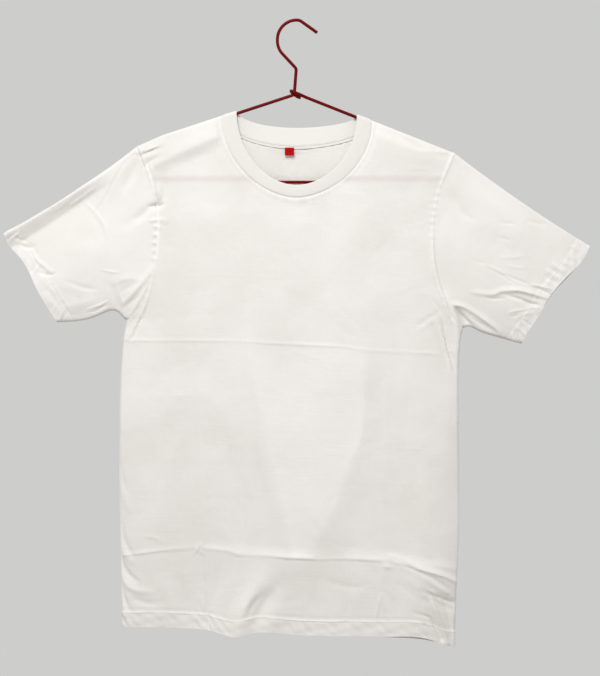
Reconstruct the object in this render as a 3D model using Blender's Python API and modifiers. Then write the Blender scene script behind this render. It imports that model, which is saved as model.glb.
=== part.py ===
"""A crew neck t-shirt hanging on a bent-wire hanger.

Metres, +Z up, +X to the right as seen from the front, the front of the shirt towards -Y.
The origin is under the crown of the hanger's hook, where a peg or a rail carries it.
Sides are the wearer's, so the right sleeve is the one at -X.

The cloth is drawn as one outline in the XZ plane. Its folded edges are the shoulders, the
sleeves' top and under edges and the body's sides. Between them the front stands forward of
the hanger and the back stands behind it, swelling slowly from edges that are pressed nearly
flat, and both come round to Y = 0 at a folded edge.
Every piece is cut from that one form, so the pieces meet at their seams.
"""

import math
from collections import namedtuple

import bmesh
import bpy
import numpy as np

MM = 0.001

# Cloth
WALL = 1.2 * MM  # cotton jersey with its loft
RIB_WALL = 2.2 * MM  # the neck rib is folded double
RIB_PROUD = 0.9 * MM  # how far the rib stands above the jersey at its seam
SEAM_GAP = 0.3 * MM
PANEL_SEAM_GAP = 0.6 * MM  # front to back, measured outside; the walls' inner corners lean in
ARMHOLE_GAP = 0.5 * MM  # wider, since the walls' inner corners lean towards each other here

# Hanger wire, with its plastic coat
WIRE_RADIUS = 2.0 * MM
WIRE_STEP_ANGLE = math.radians(15)  # one point of the wire for each step of a bend
WRAP_TURNS = 0.75  # the loose end goes this far round the neck, then under its own arm
WRAP_LIFT = 3.0 * MM  # the wrap leans, higher on the side away from its arm
WRAP_DROP = 3.4 * MM  # and falls this far in a full turn
WRAP_STEPS = 9
WRAP_TAIL = 8.0 * MM
HEAD_HEIGHT = 60 * MM  # the neck cutters reach this far above the shoulders

Bend = namedtuple("Bend", "name x z radius")
HANGER_BENDS = (  # corners of the wire's centre line, each rounded to its radius
    Bend("hook_tip", 28.8, -15.8, 0),
    Bend("crown_front", 3.8, 2.0, 12),
    Bend("crown_back", -27.0, 2.0, 27),
    Bend("hook_side", -27.0, -37.7, 27),
    Bend("neck_top", -0.6, -66.0, 6),
    Bend("neck_foot", -3.4, -102.5, 5),
    Bend("right_end_top", -208.0, -169.6, 31),
    Bend("right_end_low", -208.0, -225.0, 31),
    Bend("left_end_low", 207.0, -225.0, 25),
    Bend("left_end_top", 207.0, -183.0, 25),
    Bend("arm_root", 13.0, -106.2, 0),
)
BENDS = {bend.name: bend for bend in HANGER_BENDS}

# The cloth lies on the arms: wire, gap and wall lie between the fold and the centre line
ARM_COVER = WIRE_RADIUS + SEAM_GAP + WALL + 0.3 * MM
ARM_REACH = 188  # the shoulders follow the arms this far out, then fall to the sleeves

Place = namedtuple("Place", "x z")
Inset = namedtuple("Inset", "share inset")
Sleeve = namedtuple(
    "Sleeve", "shoulder underarm cuff_top cuff_low top_sag under_rise under_peak cuff front back"
)
RIGHT_SLEEVE = Sleeve(
    shoulder=Place(-224, -175),
    underarm=Place(-238, -418),
    cuff_top=Place(-408, -296),
    cuff_low=Place(-335, -421),
    top_sag=6,  # the top edge hangs this far below a straight line
    under_rise=18,  # the under edge arches up beside the body
    under_peak=0.24,  # where along the under edge that arch is highest
    cuff=(Inset(0, 0), Inset(0.13, -4.5), Inset(0.31, 2.5), Inset(0.65, 0), Inset(1, 0)),
    front=15,
    back=13,
)
LEFT_SLEEVE = Sleeve(
    shoulder=Place(221, -184.5),
    underarm=Place(233, -429),
    cuff_top=Place(410, -314),
    cuff_low=Place(314, -451),
    top_sag=4,
    under_rise=5,
    under_peak=0.12,
    cuff=(Inset(0, 0), Inset(0.2, -4), Inset(0.5, 3.5), Inset(0.75, 1), Inset(1, 0)),
    front=12,
    back=11,
)

ARMHOLE = (  # how far the armhole is scooped in from the line between shoulder and underarm
    Inset(0.00, 0),
    Inset(0.11, 12),
    Inset(0.20, 22),
    Inset(0.30, 29.5),
    Inset(0.42, 34.5),
    Inset(0.55, 36.5),
    Inset(0.68, 34),
    Inset(0.80, 28),
    Inset(0.90, 21),
    Inset(0.965, 11),
    Inset(1.00, 0),
)
BACK_SCOOP = 0.85  # the back armhole is cut straighter

Side = namedtuple("Side", "z right left")
BODY_SIDES = (  # the body's folded edges below the underarms
    Side(-445, -243.5, 229),
    Side(-490, -246.5, 227),
    Side(-560, -248.5, 227),
    Side(-640, -249, 227.5),
    Side(-720, -247.5, 227),
    Side(-790, -246, 224),
    Side(-847, -244.5, 222),
)

Depth = namedtuple("Depth", "z front back")
BODY_DEPTHS = (  # how far the outer faces stand from the hanger's plane
    Depth(-100, 4.0, 4.0),
    Depth(-175, 4.8, 5.6),
    Depth(-225, 5.8, 7.2),
    Depth(-330, 9.5, 9.5),
    Depth(-450, 13.0, 11.5),
    Depth(-650, 16.0, 13.0),
    Depth(-880, 18.0, 14.0),
)

EDGE_RADIUS = 5  # a folded edge is pressed to this, where the cloth is deep enough for it
EDGE_REACH = 60  # and the cloth comes to its full depth this far from the edge

Drape = namedtuple("Drape", "x_top z_top x_low z_low width depth")
FRONT_DRAPES = (  # the largest soft folds of the front, outwards where depth is positive
    Drape(-40, -730, -86, -900, 34, 9),
    Drape(-150, -700, -185, -900, 60, -3),
    Drape(60, -640, 10, -900, 60, -5),
    Drape(150, -560, 170, -900, 55, 3),
)
BACK_DRAPES = (
    Drape(90, -600, 70, -900, 55, 4),
    Drape(-120, -560, -100, -900, 60, 4),
)

Hem = namedtuple("Hem", "x front back")
HEM = (  # heights of the two hems, which dip where a fold ends
    Hem(-244.5, -847, -847),
    Hem(-165, -848.5, -849),
    Hem(-125, -850.5, -852),
    Hem(-87, -858.5, -855),
    Hem(-62, -854, -855),
    Hem(5, -858.5, -857),
    Hem(117, -861.5, -864.5),
    Hem(187, -866, -869),
    Hem(206, -873, -872.5),
    Hem(221.5, -874.5, -874.5),
)

NeckLine = namedtuple("NeckLine", "half_width front_drop back_drop taper")
NECK_SEAM = NeckLine(105, 112, 39.3, 1.12)  # above 1, taper is narrower than a half ellipse
NECK_EDGE = NeckLine(84, 101.8, 20, 1.05)  # the rib's folded edge

TAPE_WIDTH = 3.4
TAPE_DROP = 0.6  # from the seam to the tape's upper edge
TAPE_HALF_LENGTH = 86
TAPE_WALL = 1.0 * MM
LABEL_CENTRE_X = -10.2
LABEL_DROP = 2.1  # from the seam to the label's upper edge
LABEL_WIDTH = 13
LABEL_HEIGHT = 11
LABEL_LIFT = 2.0  # its low end stands this much further off the back
LABEL_WALL = 1.0 * MM

# How finely the pieces are divided
FOLD_STEPS = (0, 0.08, 1.2, 3.8, 9.0)  # from a folded edge inwards, in millimetres
EDGE_STEPS = (0, 0.1, 1.4, 5.5, 14.0)
ARMHOLE_SPANS = 9
BODY_SPANS = 12
ACROSS_SPANS = 17
SLEEVE_SPANS = 7
NECK_SPANS = 13
RIB_SPANS = 2
TAPE_SPANS = 16
PAST_CUFF = 1.3  # the folded edges run on past the openings, so that the cloth stays open there
PAST_HEM = 60

COLOURS = {
    "jersey": (0.86, 0.85, 0.83, 0.85, 0.0),
    "rib": (0.87, 0.86, 0.84, 0.9, 0.0),
    "label": (0.60, 0.01, 0.01, 0.7, 0.0),
    "coated_wire": (0.19, 0.006, 0.006, 0.35, 0.0),
}


def line_at(value, start, end, first, last):
    """The height at value on the straight line from (start, first) to (end, last)."""
    return first + (last - first) * (value - start) / (end - start)


def smooth_table(keys, values):
    """A smooth curve through a short table, with its slopes read from the neighbours."""
    keys = np.array(keys, float)
    values = np.array(values, float)
    slopes = np.gradient(values, keys)

    def at(key):
        key = np.clip(key, keys[0], keys[-1])
        i = np.clip(np.searchsorted(keys, key) - 1, 0, len(keys) - 2)
        span = keys[i + 1] - keys[i]
        t = (key - keys[i]) / span
        return (
            values[i] * (2 * t**3 - 3 * t**2 + 1)
            + slopes[i] * span * (t**3 - 2 * t**2 + t)
            + values[i + 1] * (3 * t**2 - 2 * t**3)
            + slopes[i + 1] * span * (t**3 - t**2)
        )

    return at


def table_of(rows, key, value):
    """smooth_table over two named columns."""
    return smooth_table(*zip(*sorted((getattr(row, key), getattr(row, value)) for row in rows)))


armhole_inset = table_of(ARMHOLE, "share", "inset")
right_side_x = table_of(BODY_SIDES, "z", "right")
left_side_x = table_of(BODY_SIDES, "z", "left")
front_hem = table_of(HEM, "x", "front")
back_hem = table_of(HEM, "x", "back")
front_depth = table_of(BODY_DEPTHS, "z", "front")
back_depth = table_of(BODY_DEPTHS, "z", "back")


# ---- the outline, in millimetres in the XZ plane ----


def arm_line(x, side):
    """Height of the hanger's arm at x; side is -1 for the wearer's right and 1 for the left."""
    if side < 0:
        a, b = BENDS["neck_foot"], BENDS["right_end_top"]
    else:
        a, b = BENDS["arm_root"], BENDS["left_end_top"]
    return line_at(x, a.x, b.x, a.z, b.z)


def shoulder_fold(side):
    """The cloth's top fold over one arm, from the neck's middle out to the sleeve."""
    sleeve = RIGHT_SLEEVE if side < 0 else LEFT_SLEEVE
    far = ARM_REACH * side
    slope = arm_line(1, side) - arm_line(0, side)
    cover = ARM_COVER / MM * math.hypot(1, slope)
    edge, seam = NECK_EDGE.half_width * side, NECK_SEAM.half_width * side
    reach = [0, edge, seam, (seam + far) / 2, far]
    return [Place(x, arm_line(x, side) + cover) for x in reach] + [sleeve.shoulder]


def sleeve_top(sleeve, share):
    """A point of the sleeve's top fold, from the shoulder at 0 to the cuff at 1."""
    a, b = sleeve.shoulder, sleeve.cuff_top
    sag = 4 * share * (1 - share) * sleeve.top_sag
    return Place(a.x + (b.x - a.x) * share, a.z + (b.z - a.z) * share - sag)


def sleeve_under(sleeve, share):
    """A point of the sleeve's under fold, from the underarm at 0 to the cuff at 1."""
    a, b = sleeve.underarm, sleeve.cuff_low
    ratio = share / sleeve.under_peak
    rise = sleeve.under_rise * (ratio * math.exp(1 - ratio)) ** 2
    return Place(a.x + (b.x - a.x) * share, a.z + (b.z - a.z) * share + rise * (1 - share))


def sleeve_cuff(sleeve, share):
    """A point of the cuff, from its top at 0 to its low corner at 1."""
    a, b = sleeve.cuff_top, sleeve.cuff_low
    inwards = -math.copysign(1, a.x) * smooth_table(*zip(*sleeve.cuff))(share)
    return Place(a.x + (b.x - a.x) * share + inwards, a.z + (b.z - a.z) * share)


def armhole(sleeve, share, scoop=1.0, shift=0.0):
    """A point of the armhole seam, from the shoulder at 0 to the underarm at 1, moved out by shift."""
    a, b = sleeve.shoulder, sleeve.underarm
    outwards = math.copysign(1, a.x)
    inset = armhole_inset(share) * scoop
    x = a.x + (b.x - a.x) * share - outwards * inset + outwards * shift
    return Place(x, a.z + (b.z - a.z) * share)


def side_fold(side, share):
    """A point of the body's folded edge, from the underarm at 0 to the hem at 1."""
    sleeve, hem = (RIGHT_SLEEVE, HEM[0]) if side < 0 else (LEFT_SLEEVE, HEM[-1])
    z = sleeve.underarm.z + (hem.front - sleeve.underarm.z) * share
    edge = (right_side_x if side < 0 else left_side_x)(z)
    top = BODY_SIDES[0].z
    if z > top:
        edge = line_at(z, sleeve.underarm.z, top, sleeve.underarm.x, edge)
    return Place(edge, z)


def fold_lines():
    """Every folded edge as a list of points."""
    lines = []
    along = np.linspace(0, 1, SLEEVE_SPANS + 1)
    for side, sleeve in ((-1, RIGHT_SLEEVE), (1, LEFT_SLEEVE)):
        top = shoulder_fold(side) + [sleeve_top(sleeve, s) for s in (*along[1:], PAST_CUFF)]
        under = [sleeve_under(sleeve, s) for s in (PAST_CUFF, *along[::-1])]
        body = [side_fold(side, s) for s in np.linspace(0, 1, BODY_SPANS + 1)[1:]]
        body.append(Place(body[-1].x, body[-1].z - PAST_HEM))
        lines += [top, under + body]
    return lines


FOLDS = [
    (a.x, a.z, b.x - a.x, b.z - a.z)
    for line in fold_lines()
    for a, b in zip(line, line[1:])
    if (a.x, a.z) != (b.x, b.z)
]


def fold_distance(x, z):
    """Distance from (x, z) to the nearest folded edge."""
    nearest = math.inf
    for ax, az, dx, dz in FOLDS:
        t = ((x - ax) * dx + (z - az) * dz) / (dx * dx + dz * dz)
        t = min(1.0, max(0.0, t))
        nearest = min(nearest, math.hypot(x - ax - t * dx, z - az - t * dz))
    return nearest


def smoothstep(low, high, value):
    t = min(1.0, max(0.0, (value - low) / (high - low)))
    return t * t * (3 - 2 * t)


def drape_at(drapes, x, z):
    """The soft folds' sum at (x, z): each grows from nothing at its top to its depth at the hem."""
    total = 0.0
    for fold in drapes:
        down = (z - fold.z_top) / (fold.z_low - fold.z_top)
        if down > 0:
            middle = fold.x_top + (fold.x_low - fold.x_top) * down
            total += fold.depth * smoothstep(0, 1, down) * math.exp(-(((x - middle) / fold.width) ** 2))
    return total


def stand_off(x, z, front):
    """How far the outer face stands from the hanger's plane at (x, z), in millimetres."""
    sleeve = RIGHT_SLEEVE if x < 0 else LEFT_SLEEVE
    depth = front_depth(z) if front else back_depth(z)
    cuff = sleeve.front if front else sleeve.back
    out = smoothstep(abs(sleeve.shoulder.x) - 10, abs(sleeve.cuff_top.x), abs(x))
    out *= smoothstep(-475, -410, z)
    depth = depth + (cuff - depth) * out
    height = depth + drape_at(FRONT_DRAPES if front else BACK_DRAPES, x, z)
    edge = min(EDGE_RADIUS, depth)
    away = fold_distance(x, z)
    rounding = math.sqrt(1 - (1 - min(1.0, away / edge)) ** 2)
    swell = 1 - (1 - min(1.0, away / EDGE_REACH)) ** 2
    return edge * rounding + (height - edge) * swell


def on_cloth(x, z, front, edge_gap=0.0):
    """The point of the cloth's outer face over (x, z), in metres."""
    depth = stand_off(x, z, front) * MM + edge_gap
    return (x * MM, -depth if front else depth, z * MM)


# ---- Blender helpers ----


def clear_scene():
    for obj in list(bpy.data.objects):
        bpy.data.objects.remove(obj)


def collection(name):
    made = bpy.data.collections.new(name)
    bpy.context.scene.collection.children.link(made)
    return made


def material(name):
    red, green, blue, roughness, metallic = COLOURS[name]
    made = bpy.data.materials.new(name)
    made.use_nodes = True
    shader = made.node_tree.nodes["Principled BSDF"]
    shader.inputs["Base Color"].default_value = (red, green, blue, 1)
    shader.inputs["Roughness"].default_value = roughness
    shader.inputs["Metallic"].default_value = metallic
    return made


def grid_object(name, points, group, finish, closed=False):
    """An open sheet from rows of points; closed joins each row's last point to its first."""
    rows, columns = len(points), len(points[0])
    bm = bmesh.new()
    bmesh.ops.create_grid(bm, x_segments=columns - 1, y_segments=rows - 1, size=1)
    for vertex in bm.verts:
        column = round((vertex.co.x + 1) / 2 * (columns - 1))
        row = round((1 - vertex.co.y) / 2 * (rows - 1))
        vertex.co = points[row][column]
    if closed:
        bmesh.ops.remove_doubles(bm, verts=bm.verts, dist=1e-6)
    mesh = bpy.data.meshes.new(name)
    bm.to_mesh(mesh)
    bm.free()
    obj = bpy.data.objects.new(name, mesh)
    obj.data.materials.append(finish)
    group.objects.link(obj)
    return obj


def thicken(obj, wall, offset=-1.0):
    """Gives an open sheet its wall; offset -1 puts it all on the inner side."""
    modifier = obj.modifiers.new("Wall", "SOLIDIFY")
    modifier.thickness = wall
    modifier.offset = offset
    modifier.use_even_offset = True
    return obj


# ---- the cloth pieces ----


def spans(first, last, steps, count, both_ends=True):
    """Stations from first to last: close together by an edge as steps say, then even spans."""
    length = last - first
    low = list(steps)
    high = [length - step for step in reversed(steps)] if both_ends else [length]
    middle = np.linspace(low[-1], high[0], count + 1)[1:-1]
    return [first + value for value in [*low, *middle, *high]]


def armhole_shares(sleeve):
    """Where the armhole is divided. Panel and sleeve share these, so that their edges match."""
    height = sleeve.shoulder.z - sleeve.underarm.z
    top = [step / height for step in FOLD_STEPS]
    low = [1 - step / height for step in reversed(EDGE_STEPS)]
    middle = np.linspace(top[-1], low[0], ARMHOLE_SPANS + 1)[1:-1]
    return [*top, *middle, *low]


def shoulder_height(x):
    """Height of the shoulder fold at x."""
    line = sorted(shoulder_fold(-1)[1:] + shoulder_fold(1)[1:])
    return float(np.interp(x, [p.x for p in line], [p.z for p in line]))


def panel_edges(front):
    """Pairs of points, right and left, that end each row of a body panel, from shoulder to hem."""
    scoop = 1.0 if front else BACK_SCOOP
    shift = -ARMHOLE_GAP / MM / 2
    edges = [
        (armhole(RIGHT_SLEEVE, right, scoop, shift), armhole(LEFT_SLEEVE, left, scoop, shift))
        for right, left in zip(armhole_shares(RIGHT_SLEEVE), armhole_shares(LEFT_SLEEVE))
    ]
    body = [(side_fold(-1, share), side_fold(1, share)) for share in np.linspace(0, 1, BODY_SPANS + 1)[1:]]
    return edges + body


def panel_points(front):
    """Rows of points of the front or back panel, before the neck is cut out."""
    hem_height = front_hem if front else back_hem
    edges = panel_edges(front)
    first_right, first_left = edges[0]
    last_right, last_left = edges[-1]
    points = []
    for right, left in edges:
        down = (first_right.z - right.z) / (first_right.z - last_right.z)
        row = []
        for x in spans(right.x, left.x, EDGE_STEPS, ACROSS_SPANS):
            share = (x - right.x) / (left.x - right.x)
            x_top = first_right.x + (first_left.x - first_right.x) * share
            straight_top = line_at(x_top, first_right.x, first_left.x, first_right.z, first_left.z)
            x_hem = last_right.x + (last_left.x - last_right.x) * share
            straight_hem = line_at(x_hem, last_right.x, last_left.x, last_right.z, last_left.z)
            z = right.z + (left.z - right.z) * share
            z += (shoulder_height(x_top) - straight_top) * (1 - down) ** 4
            z += (hem_height(x_hem) - straight_hem) * down**4
            row.append(on_cloth(x, z, front, PANEL_SEAM_GAP / 2))
        points.append(row if front else row[::-1])
    return points


def neck_drop(line, front):
    return line.front_drop if front else line.back_drop


def neck_angles(front):
    """Stations of a neck curve: close together where it comes over the arms."""
    near = [math.asin(step / neck_drop(NECK_SEAM, front)) for step in FOLD_STEPS]
    middle = np.linspace(near[-1], math.pi - near[-1], NECK_SPANS + 1)[1:-1]
    return [*near, *middle, *(math.pi - angle for angle in reversed(near))]


def neck_curve(line, front, angle, shift=0.0):
    """A point of a neck line, from the wearer's right shoulder at 0 to the left one at pi."""
    across = -math.copysign(abs(math.cos(angle)) ** line.taper, math.cos(angle))
    half_width = line.half_width + shift
    right, left = shoulder_height(-half_width), shoulder_height(half_width)
    ends = (right + left) / 2 + (left - right) / 2 * across**3
    return Place(half_width * across, ends - (neck_drop(line, front) + shift) * math.sin(angle))


def neck_cutter(name, front, group):
    """An upright prism over the neck opening, from its seam up past the shoulders."""
    outline = [neck_curve(NECK_SEAM, front, angle, SEAM_GAP / MM / 2) for angle in neck_angles(front)]
    outline += [Place(p.x, p.z + HEAD_HEIGHT / MM) for p in (outline[-1], outline[0])]
    bm = bmesh.new()
    reach = 40 * MM
    face = bm.faces.new([bm.verts.new((p.x * MM, -reach, p.z * MM)) for p in outline])
    grown = bmesh.ops.extrude_face_region(bm, geom=[face])["geom"]
    far = [v for v in grown if isinstance(v, bmesh.types.BMVert)]
    bmesh.ops.translate(bm, verts=far, vec=(0, 2 * reach, 0))
    bmesh.ops.recalc_face_normals(bm, faces=bm.faces)
    mesh = bpy.data.meshes.new(name)
    bm.to_mesh(mesh)
    bm.free()
    obj = bpy.data.objects.new(name, mesh)
    obj.hide_render = True
    obj.display_type = "WIRE"
    group.objects.link(obj)
    return obj


def body_panel(name, front, group, cutters, finish):
    """The front or the back, from its shoulder seams to its hem, with the neck cut out."""
    obj = thicken(grid_object(name, panel_points(front), group, finish), WALL)
    cut = obj.modifiers.new("Neck", "BOOLEAN")
    cut.operation = "DIFFERENCE"
    cut.object = neck_cutter(name + "_neck_cutter", front, cutters)
    return obj


def sleeve_place(sleeve, along, round_share, scoop):
    """A point of the sleeve's outline patch: along from armhole to cuff, round from top to under fold."""
    shift = ARMHOLE_GAP / MM / 2
    seam = armhole(sleeve, round_share, scoop, shift)
    cuff = sleeve_cuff(sleeve, round_share)
    top, under = sleeve_top(sleeve, along), sleeve_under(sleeve, along)
    corners = [
        ((1 - along) * (1 - round_share), sleeve.shoulder),
        (along * (1 - round_share), sleeve.cuff_top),
        ((1 - along) * round_share, sleeve.underarm),
        (along * round_share, sleeve.cuff_low),
    ]
    sides = [(1 - along, seam), (along, cuff), (1 - round_share, top), (round_share, under)]
    x = sum(w * p.x for w, p in sides) - sum(w * p.x for w, p in corners)
    z = sum(w * p.z for w, p in sides) - sum(w * p.z for w, p in corners)
    return x, z


def sleeve_tube(name, sleeve, group, finish):
    """A sleeve as one tube: its front from the top fold to the under fold, then its back."""
    shares = armhole_shares(sleeve)
    points = []
    for along in np.linspace(0, 1, SLEEVE_SPANS + 1):
        front = [on_cloth(*sleeve_place(sleeve, along, s, 1.0), True) for s in shares]
        back = [on_cloth(*sleeve_place(sleeve, along, s, BACK_SCOOP), False) for s in reversed(shares)]
        for ring in (front, back):
            ring[0] = (ring[0][0], 0.0, ring[0][2])
            ring[-1] = (ring[-1][0], 0.0, ring[-1][2])
        points.append(front[:-1] + back[:-1] + front[:1])
    if sleeve.shoulder.x > 0:
        points = [row[::-1] for row in points]
    return thicken(grid_object(name, points, group, finish, closed=True), WALL)


def neck_rib(name, group, finish):
    """The crew neck's rib as one ring, from its seam to its folded edge."""
    points = []
    for across in np.linspace(0, 1, RIB_SPANS + 1):
        row = []
        for front in (True, False):
            angles = neck_angles(front)
            if not front:
                angles = angles[::-1]
            for angle in angles[:-1]:
                seam = neck_curve(NECK_SEAM, front, angle, -SEAM_GAP / MM / 2)
                edge = neck_curve(NECK_EDGE, front, angle)
                x = seam.x + (edge.x - seam.x) * across
                z = seam.z + (edge.z - seam.z) * across
                point = on_cloth(x, z, front)
                row.append((point[0], 0.0, point[2]) if angle in (angles[0], angles[-1]) else point)
        points.append((row + row[:1])[::-1])
    inner_share = (RIB_WALL - RIB_PROUD) / RIB_WALL
    return thicken(grid_object(name, points, group, finish, closed=True), RIB_WALL, 1 - 2 * inner_share)


def back_seam_height(x):
    """Height of the back neck seam at x."""
    angle = math.acos(-math.copysign((abs(x) / NECK_SEAM.half_width) ** (1 / NECK_SEAM.taper), x))
    return neck_curve(NECK_SEAM, False, angle).z


def neck_tape(name, group, finish):
    """The tape that covers the back neck seam inside, on the back panel's inner face."""
    points = []
    for across in (0, 0.5, 1):
        row = []
        for x in np.linspace(TAPE_HALF_LENGTH, -TAPE_HALF_LENGTH, TAPE_SPANS + 1):
            place = on_cloth(x, back_seam_height(x) - TAPE_DROP - TAPE_WIDTH * across, False)
            row.append((place[0], place[1] - WALL - SEAM_GAP, place[2]))
        points.append(row)
    return thicken(grid_object(name, points, group, finish), TAPE_WALL)


def size_label(name, group, finish):
    """A small woven label that hangs over the tape and stands a little off the back."""
    top = back_seam_height(LABEL_CENTRE_X) - LABEL_DROP
    points = []
    for down in np.linspace(0, 1, 4):
        inwards = WALL + TAPE_WALL + 2 * SEAM_GAP + LABEL_LIFT * MM * down**2
        row = []
        for x in np.linspace(LABEL_CENTRE_X + LABEL_WIDTH / 2, LABEL_CENTRE_X - LABEL_WIDTH / 2, 3):
            place = on_cloth(x, top - LABEL_HEIGHT * down, False)
            row.append((place[0], place[1] - inwards, place[2]))
        points.append(row)
    return thicken(grid_object(name, points, group, finish), LABEL_WALL)


# ---- the hanger ----


def rounded_corner(before, corner, after):
    """Points of the arc that rounds a corner of the wire to its bend radius."""
    here = np.array([corner.x, corner.z])
    back = np.array([before.x, before.z]) - here
    on = np.array([after.x, after.z]) - here
    back /= np.linalg.norm(back)
    on /= np.linalg.norm(on)
    half = math.acos(float(np.clip(back @ on, -1, 1))) / 2
    centre = here + (back + on) / np.linalg.norm(back + on) * corner.radius / math.sin(half)
    start = here + back * corner.radius / math.tan(half) - centre
    end = here + on * corner.radius / math.tan(half) - centre
    turn = math.pi - 2 * half
    steps = max(2, math.ceil(turn / WIRE_STEP_ANGLE))
    arc = []
    for i in range(steps + 1):
        t = i / steps
        arm = (start * math.sin((1 - t) * turn) + end * math.sin(t * turn)) / math.sin(turn)
        arc.append(tuple(centre + arm))
    return arc


def wrap_point(neck_x, reach, start_z, turn):
    """A point of the wrapped end: turn 0 is in front of the neck, and it goes round by the right."""
    angle = 2 * math.pi * turn
    z = start_z + WRAP_LIFT * math.sin(angle) - WRAP_DROP * turn
    return (neck_x - reach * math.sin(angle), -reach * math.cos(angle), z)


def wire_line():
    """The hanger's centre line: the bends in the XZ plane, then the end wrapped round the neck."""
    flat = [(HANGER_BENDS[0].x, HANGER_BENDS[0].z)]
    for before, corner, after in zip(HANGER_BENDS, HANGER_BENDS[1:], HANGER_BENDS[2:]):
        arc = rounded_corner(before, corner, after)
        flat += arc[1:] if math.dist(flat[-1], arc[0]) < WIRE_RADIUS / MM else arc
    flat.append((HANGER_BENDS[-1].x, HANGER_BENDS[-1].z))
    line = [(x * MM, 0.0, z * MM) for x, z in flat]
    reach = 2 * WIRE_RADIUS + SEAM_GAP
    top, foot, root = BENDS["neck_top"], BENDS["neck_foot"], BENDS["arm_root"]
    neck_x = line_at(root.z, top.z, foot.z, top.x, foot.x)
    half_way = (root.x + neck_x) / 2
    line.append((half_way * MM, -0.8 * reach, arm_line(half_way, 1) * MM))
    turns = [WRAP_TURNS * step / WRAP_STEPS for step in range(WRAP_STEPS + 1)]
    line += [wrap_point(neck_x * MM, reach, arm_line(neck_x, 1) * MM, turn) for turn in turns]
    end = line[-1]
    fall = arm_line(1, 1) - arm_line(0, 1)
    line.append((end[0] + WRAP_TAIL, end[1], end[2] + WRAP_TAIL * fall))
    return line


def hanger_wire(name, group, finish):
    """The hanger as one bent wire with a round section and closed ends."""
    curve = bpy.data.curves.new(name, "CURVE")
    curve.dimensions = "3D"
    curve.bevel_depth = WIRE_RADIUS
    curve.bevel_resolution = 2
    curve.use_fill_caps = True
    spline = curve.splines.new("POLY")
    line = wire_line()
    spline.points.add(len(line) - 1)
    for point, place in zip(spline.points, line):
        point.co = (*place, 1)
    obj = bpy.data.objects.new(name, curve)
    obj.data.materials.append(finish)
    group.objects.link(obj)
    return obj


def build():
    clear_scene()
    shirt = collection("t_shirt_on_hanger")
    cutters = collection("cutters")
    jersey, rib, label, wire = (material(name) for name in COLOURS)
    body_panel("front_panel", True, shirt, cutters, jersey)
    body_panel("back_panel", False, shirt, cutters, jersey)
    sleeve_tube("right_sleeve", RIGHT_SLEEVE, shirt, jersey)
    sleeve_tube("left_sleeve", LEFT_SLEEVE, shirt, jersey)
    neck_rib("neck_rib", shirt, rib)
    neck_tape("neck_tape", shirt, jersey)
    size_label("size_label", shirt, label)
    hanger_wire("hanger_wire", shirt, wire)


build()
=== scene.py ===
# A white crew neck t-shirt on a bent wire hanger, dressed over its CAD frame.
#
# The frame is in metres. Here everything is worked out in millimetres on the shirt's flat outline,
# x to the right and z up, and turned to metres when a mesh is made. The front of the shirt faces -Y.
# Sides are the wearer's: side -1 is the right sleeve, at -X, and side 1 is the left one.

import math

import bmesh
import bpy
import numpy as np
from mathutils import Matrix, Vector


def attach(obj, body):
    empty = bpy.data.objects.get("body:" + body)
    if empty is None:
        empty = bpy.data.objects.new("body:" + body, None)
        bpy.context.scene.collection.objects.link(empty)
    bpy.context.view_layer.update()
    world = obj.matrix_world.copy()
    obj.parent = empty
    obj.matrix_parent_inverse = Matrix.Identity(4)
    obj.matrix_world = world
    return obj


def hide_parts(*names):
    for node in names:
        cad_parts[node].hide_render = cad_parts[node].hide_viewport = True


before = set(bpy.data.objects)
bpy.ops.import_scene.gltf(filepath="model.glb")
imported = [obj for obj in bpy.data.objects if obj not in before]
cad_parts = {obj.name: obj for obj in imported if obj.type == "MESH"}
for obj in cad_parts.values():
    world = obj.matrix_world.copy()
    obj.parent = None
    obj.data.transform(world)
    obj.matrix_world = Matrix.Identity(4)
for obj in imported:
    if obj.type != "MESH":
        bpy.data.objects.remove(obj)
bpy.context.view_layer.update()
print("frame loaded:", ", ".join(sorted(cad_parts)))

mm = 0.001
sides = (-1, 1)


hanger = {
    "radius": 2.0,
    "coat": 0.25,  # how much the dip has built up on it
    "arcStep": 4,  # degrees of a bend for each point
    "runStep": 12,  # longest stretch of wire between two points
    "bends": {  # corners of the centre line from the hook's tip: x, z and the bend's radius
        "hookTip": (28.8, -15.8, 0),
        "crownFront": (3.8, 2.0, 12),
        "crownBack": (-27.0, 2.0, 27),
        "hookSide": (-27.0, -37.7, 27),
        "neckTop": (-0.6, -66.0, 6),
        "neckFoot": (-3.4, -102.5, 5),
        "rightEndTop": (-208.0, -169.6, 31),
        "rightEndLow": (-208.0, -225.0, 31),
        "leftEndLow": (207.0, -225.0, 25),
        "leftEndTop": (207.0, -183.0, 25),
        "armRoot": (13.0, -106.2, 0),
    },
    "wrapTurns": 0.75,
    "wrapSpare": 0.3,  # between the wrapped end and the neck it goes round
    "wrapLift": 3.0,
    "wrapDrop": 3.4,
    "wrapSteps": 36,
    "wrapTail": 5.0,
    "tips": ((0.0, 0.72), (0.35, 0.92), (0.9, 1.0)),  # how far in from an end, share of the full thickness
}

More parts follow.
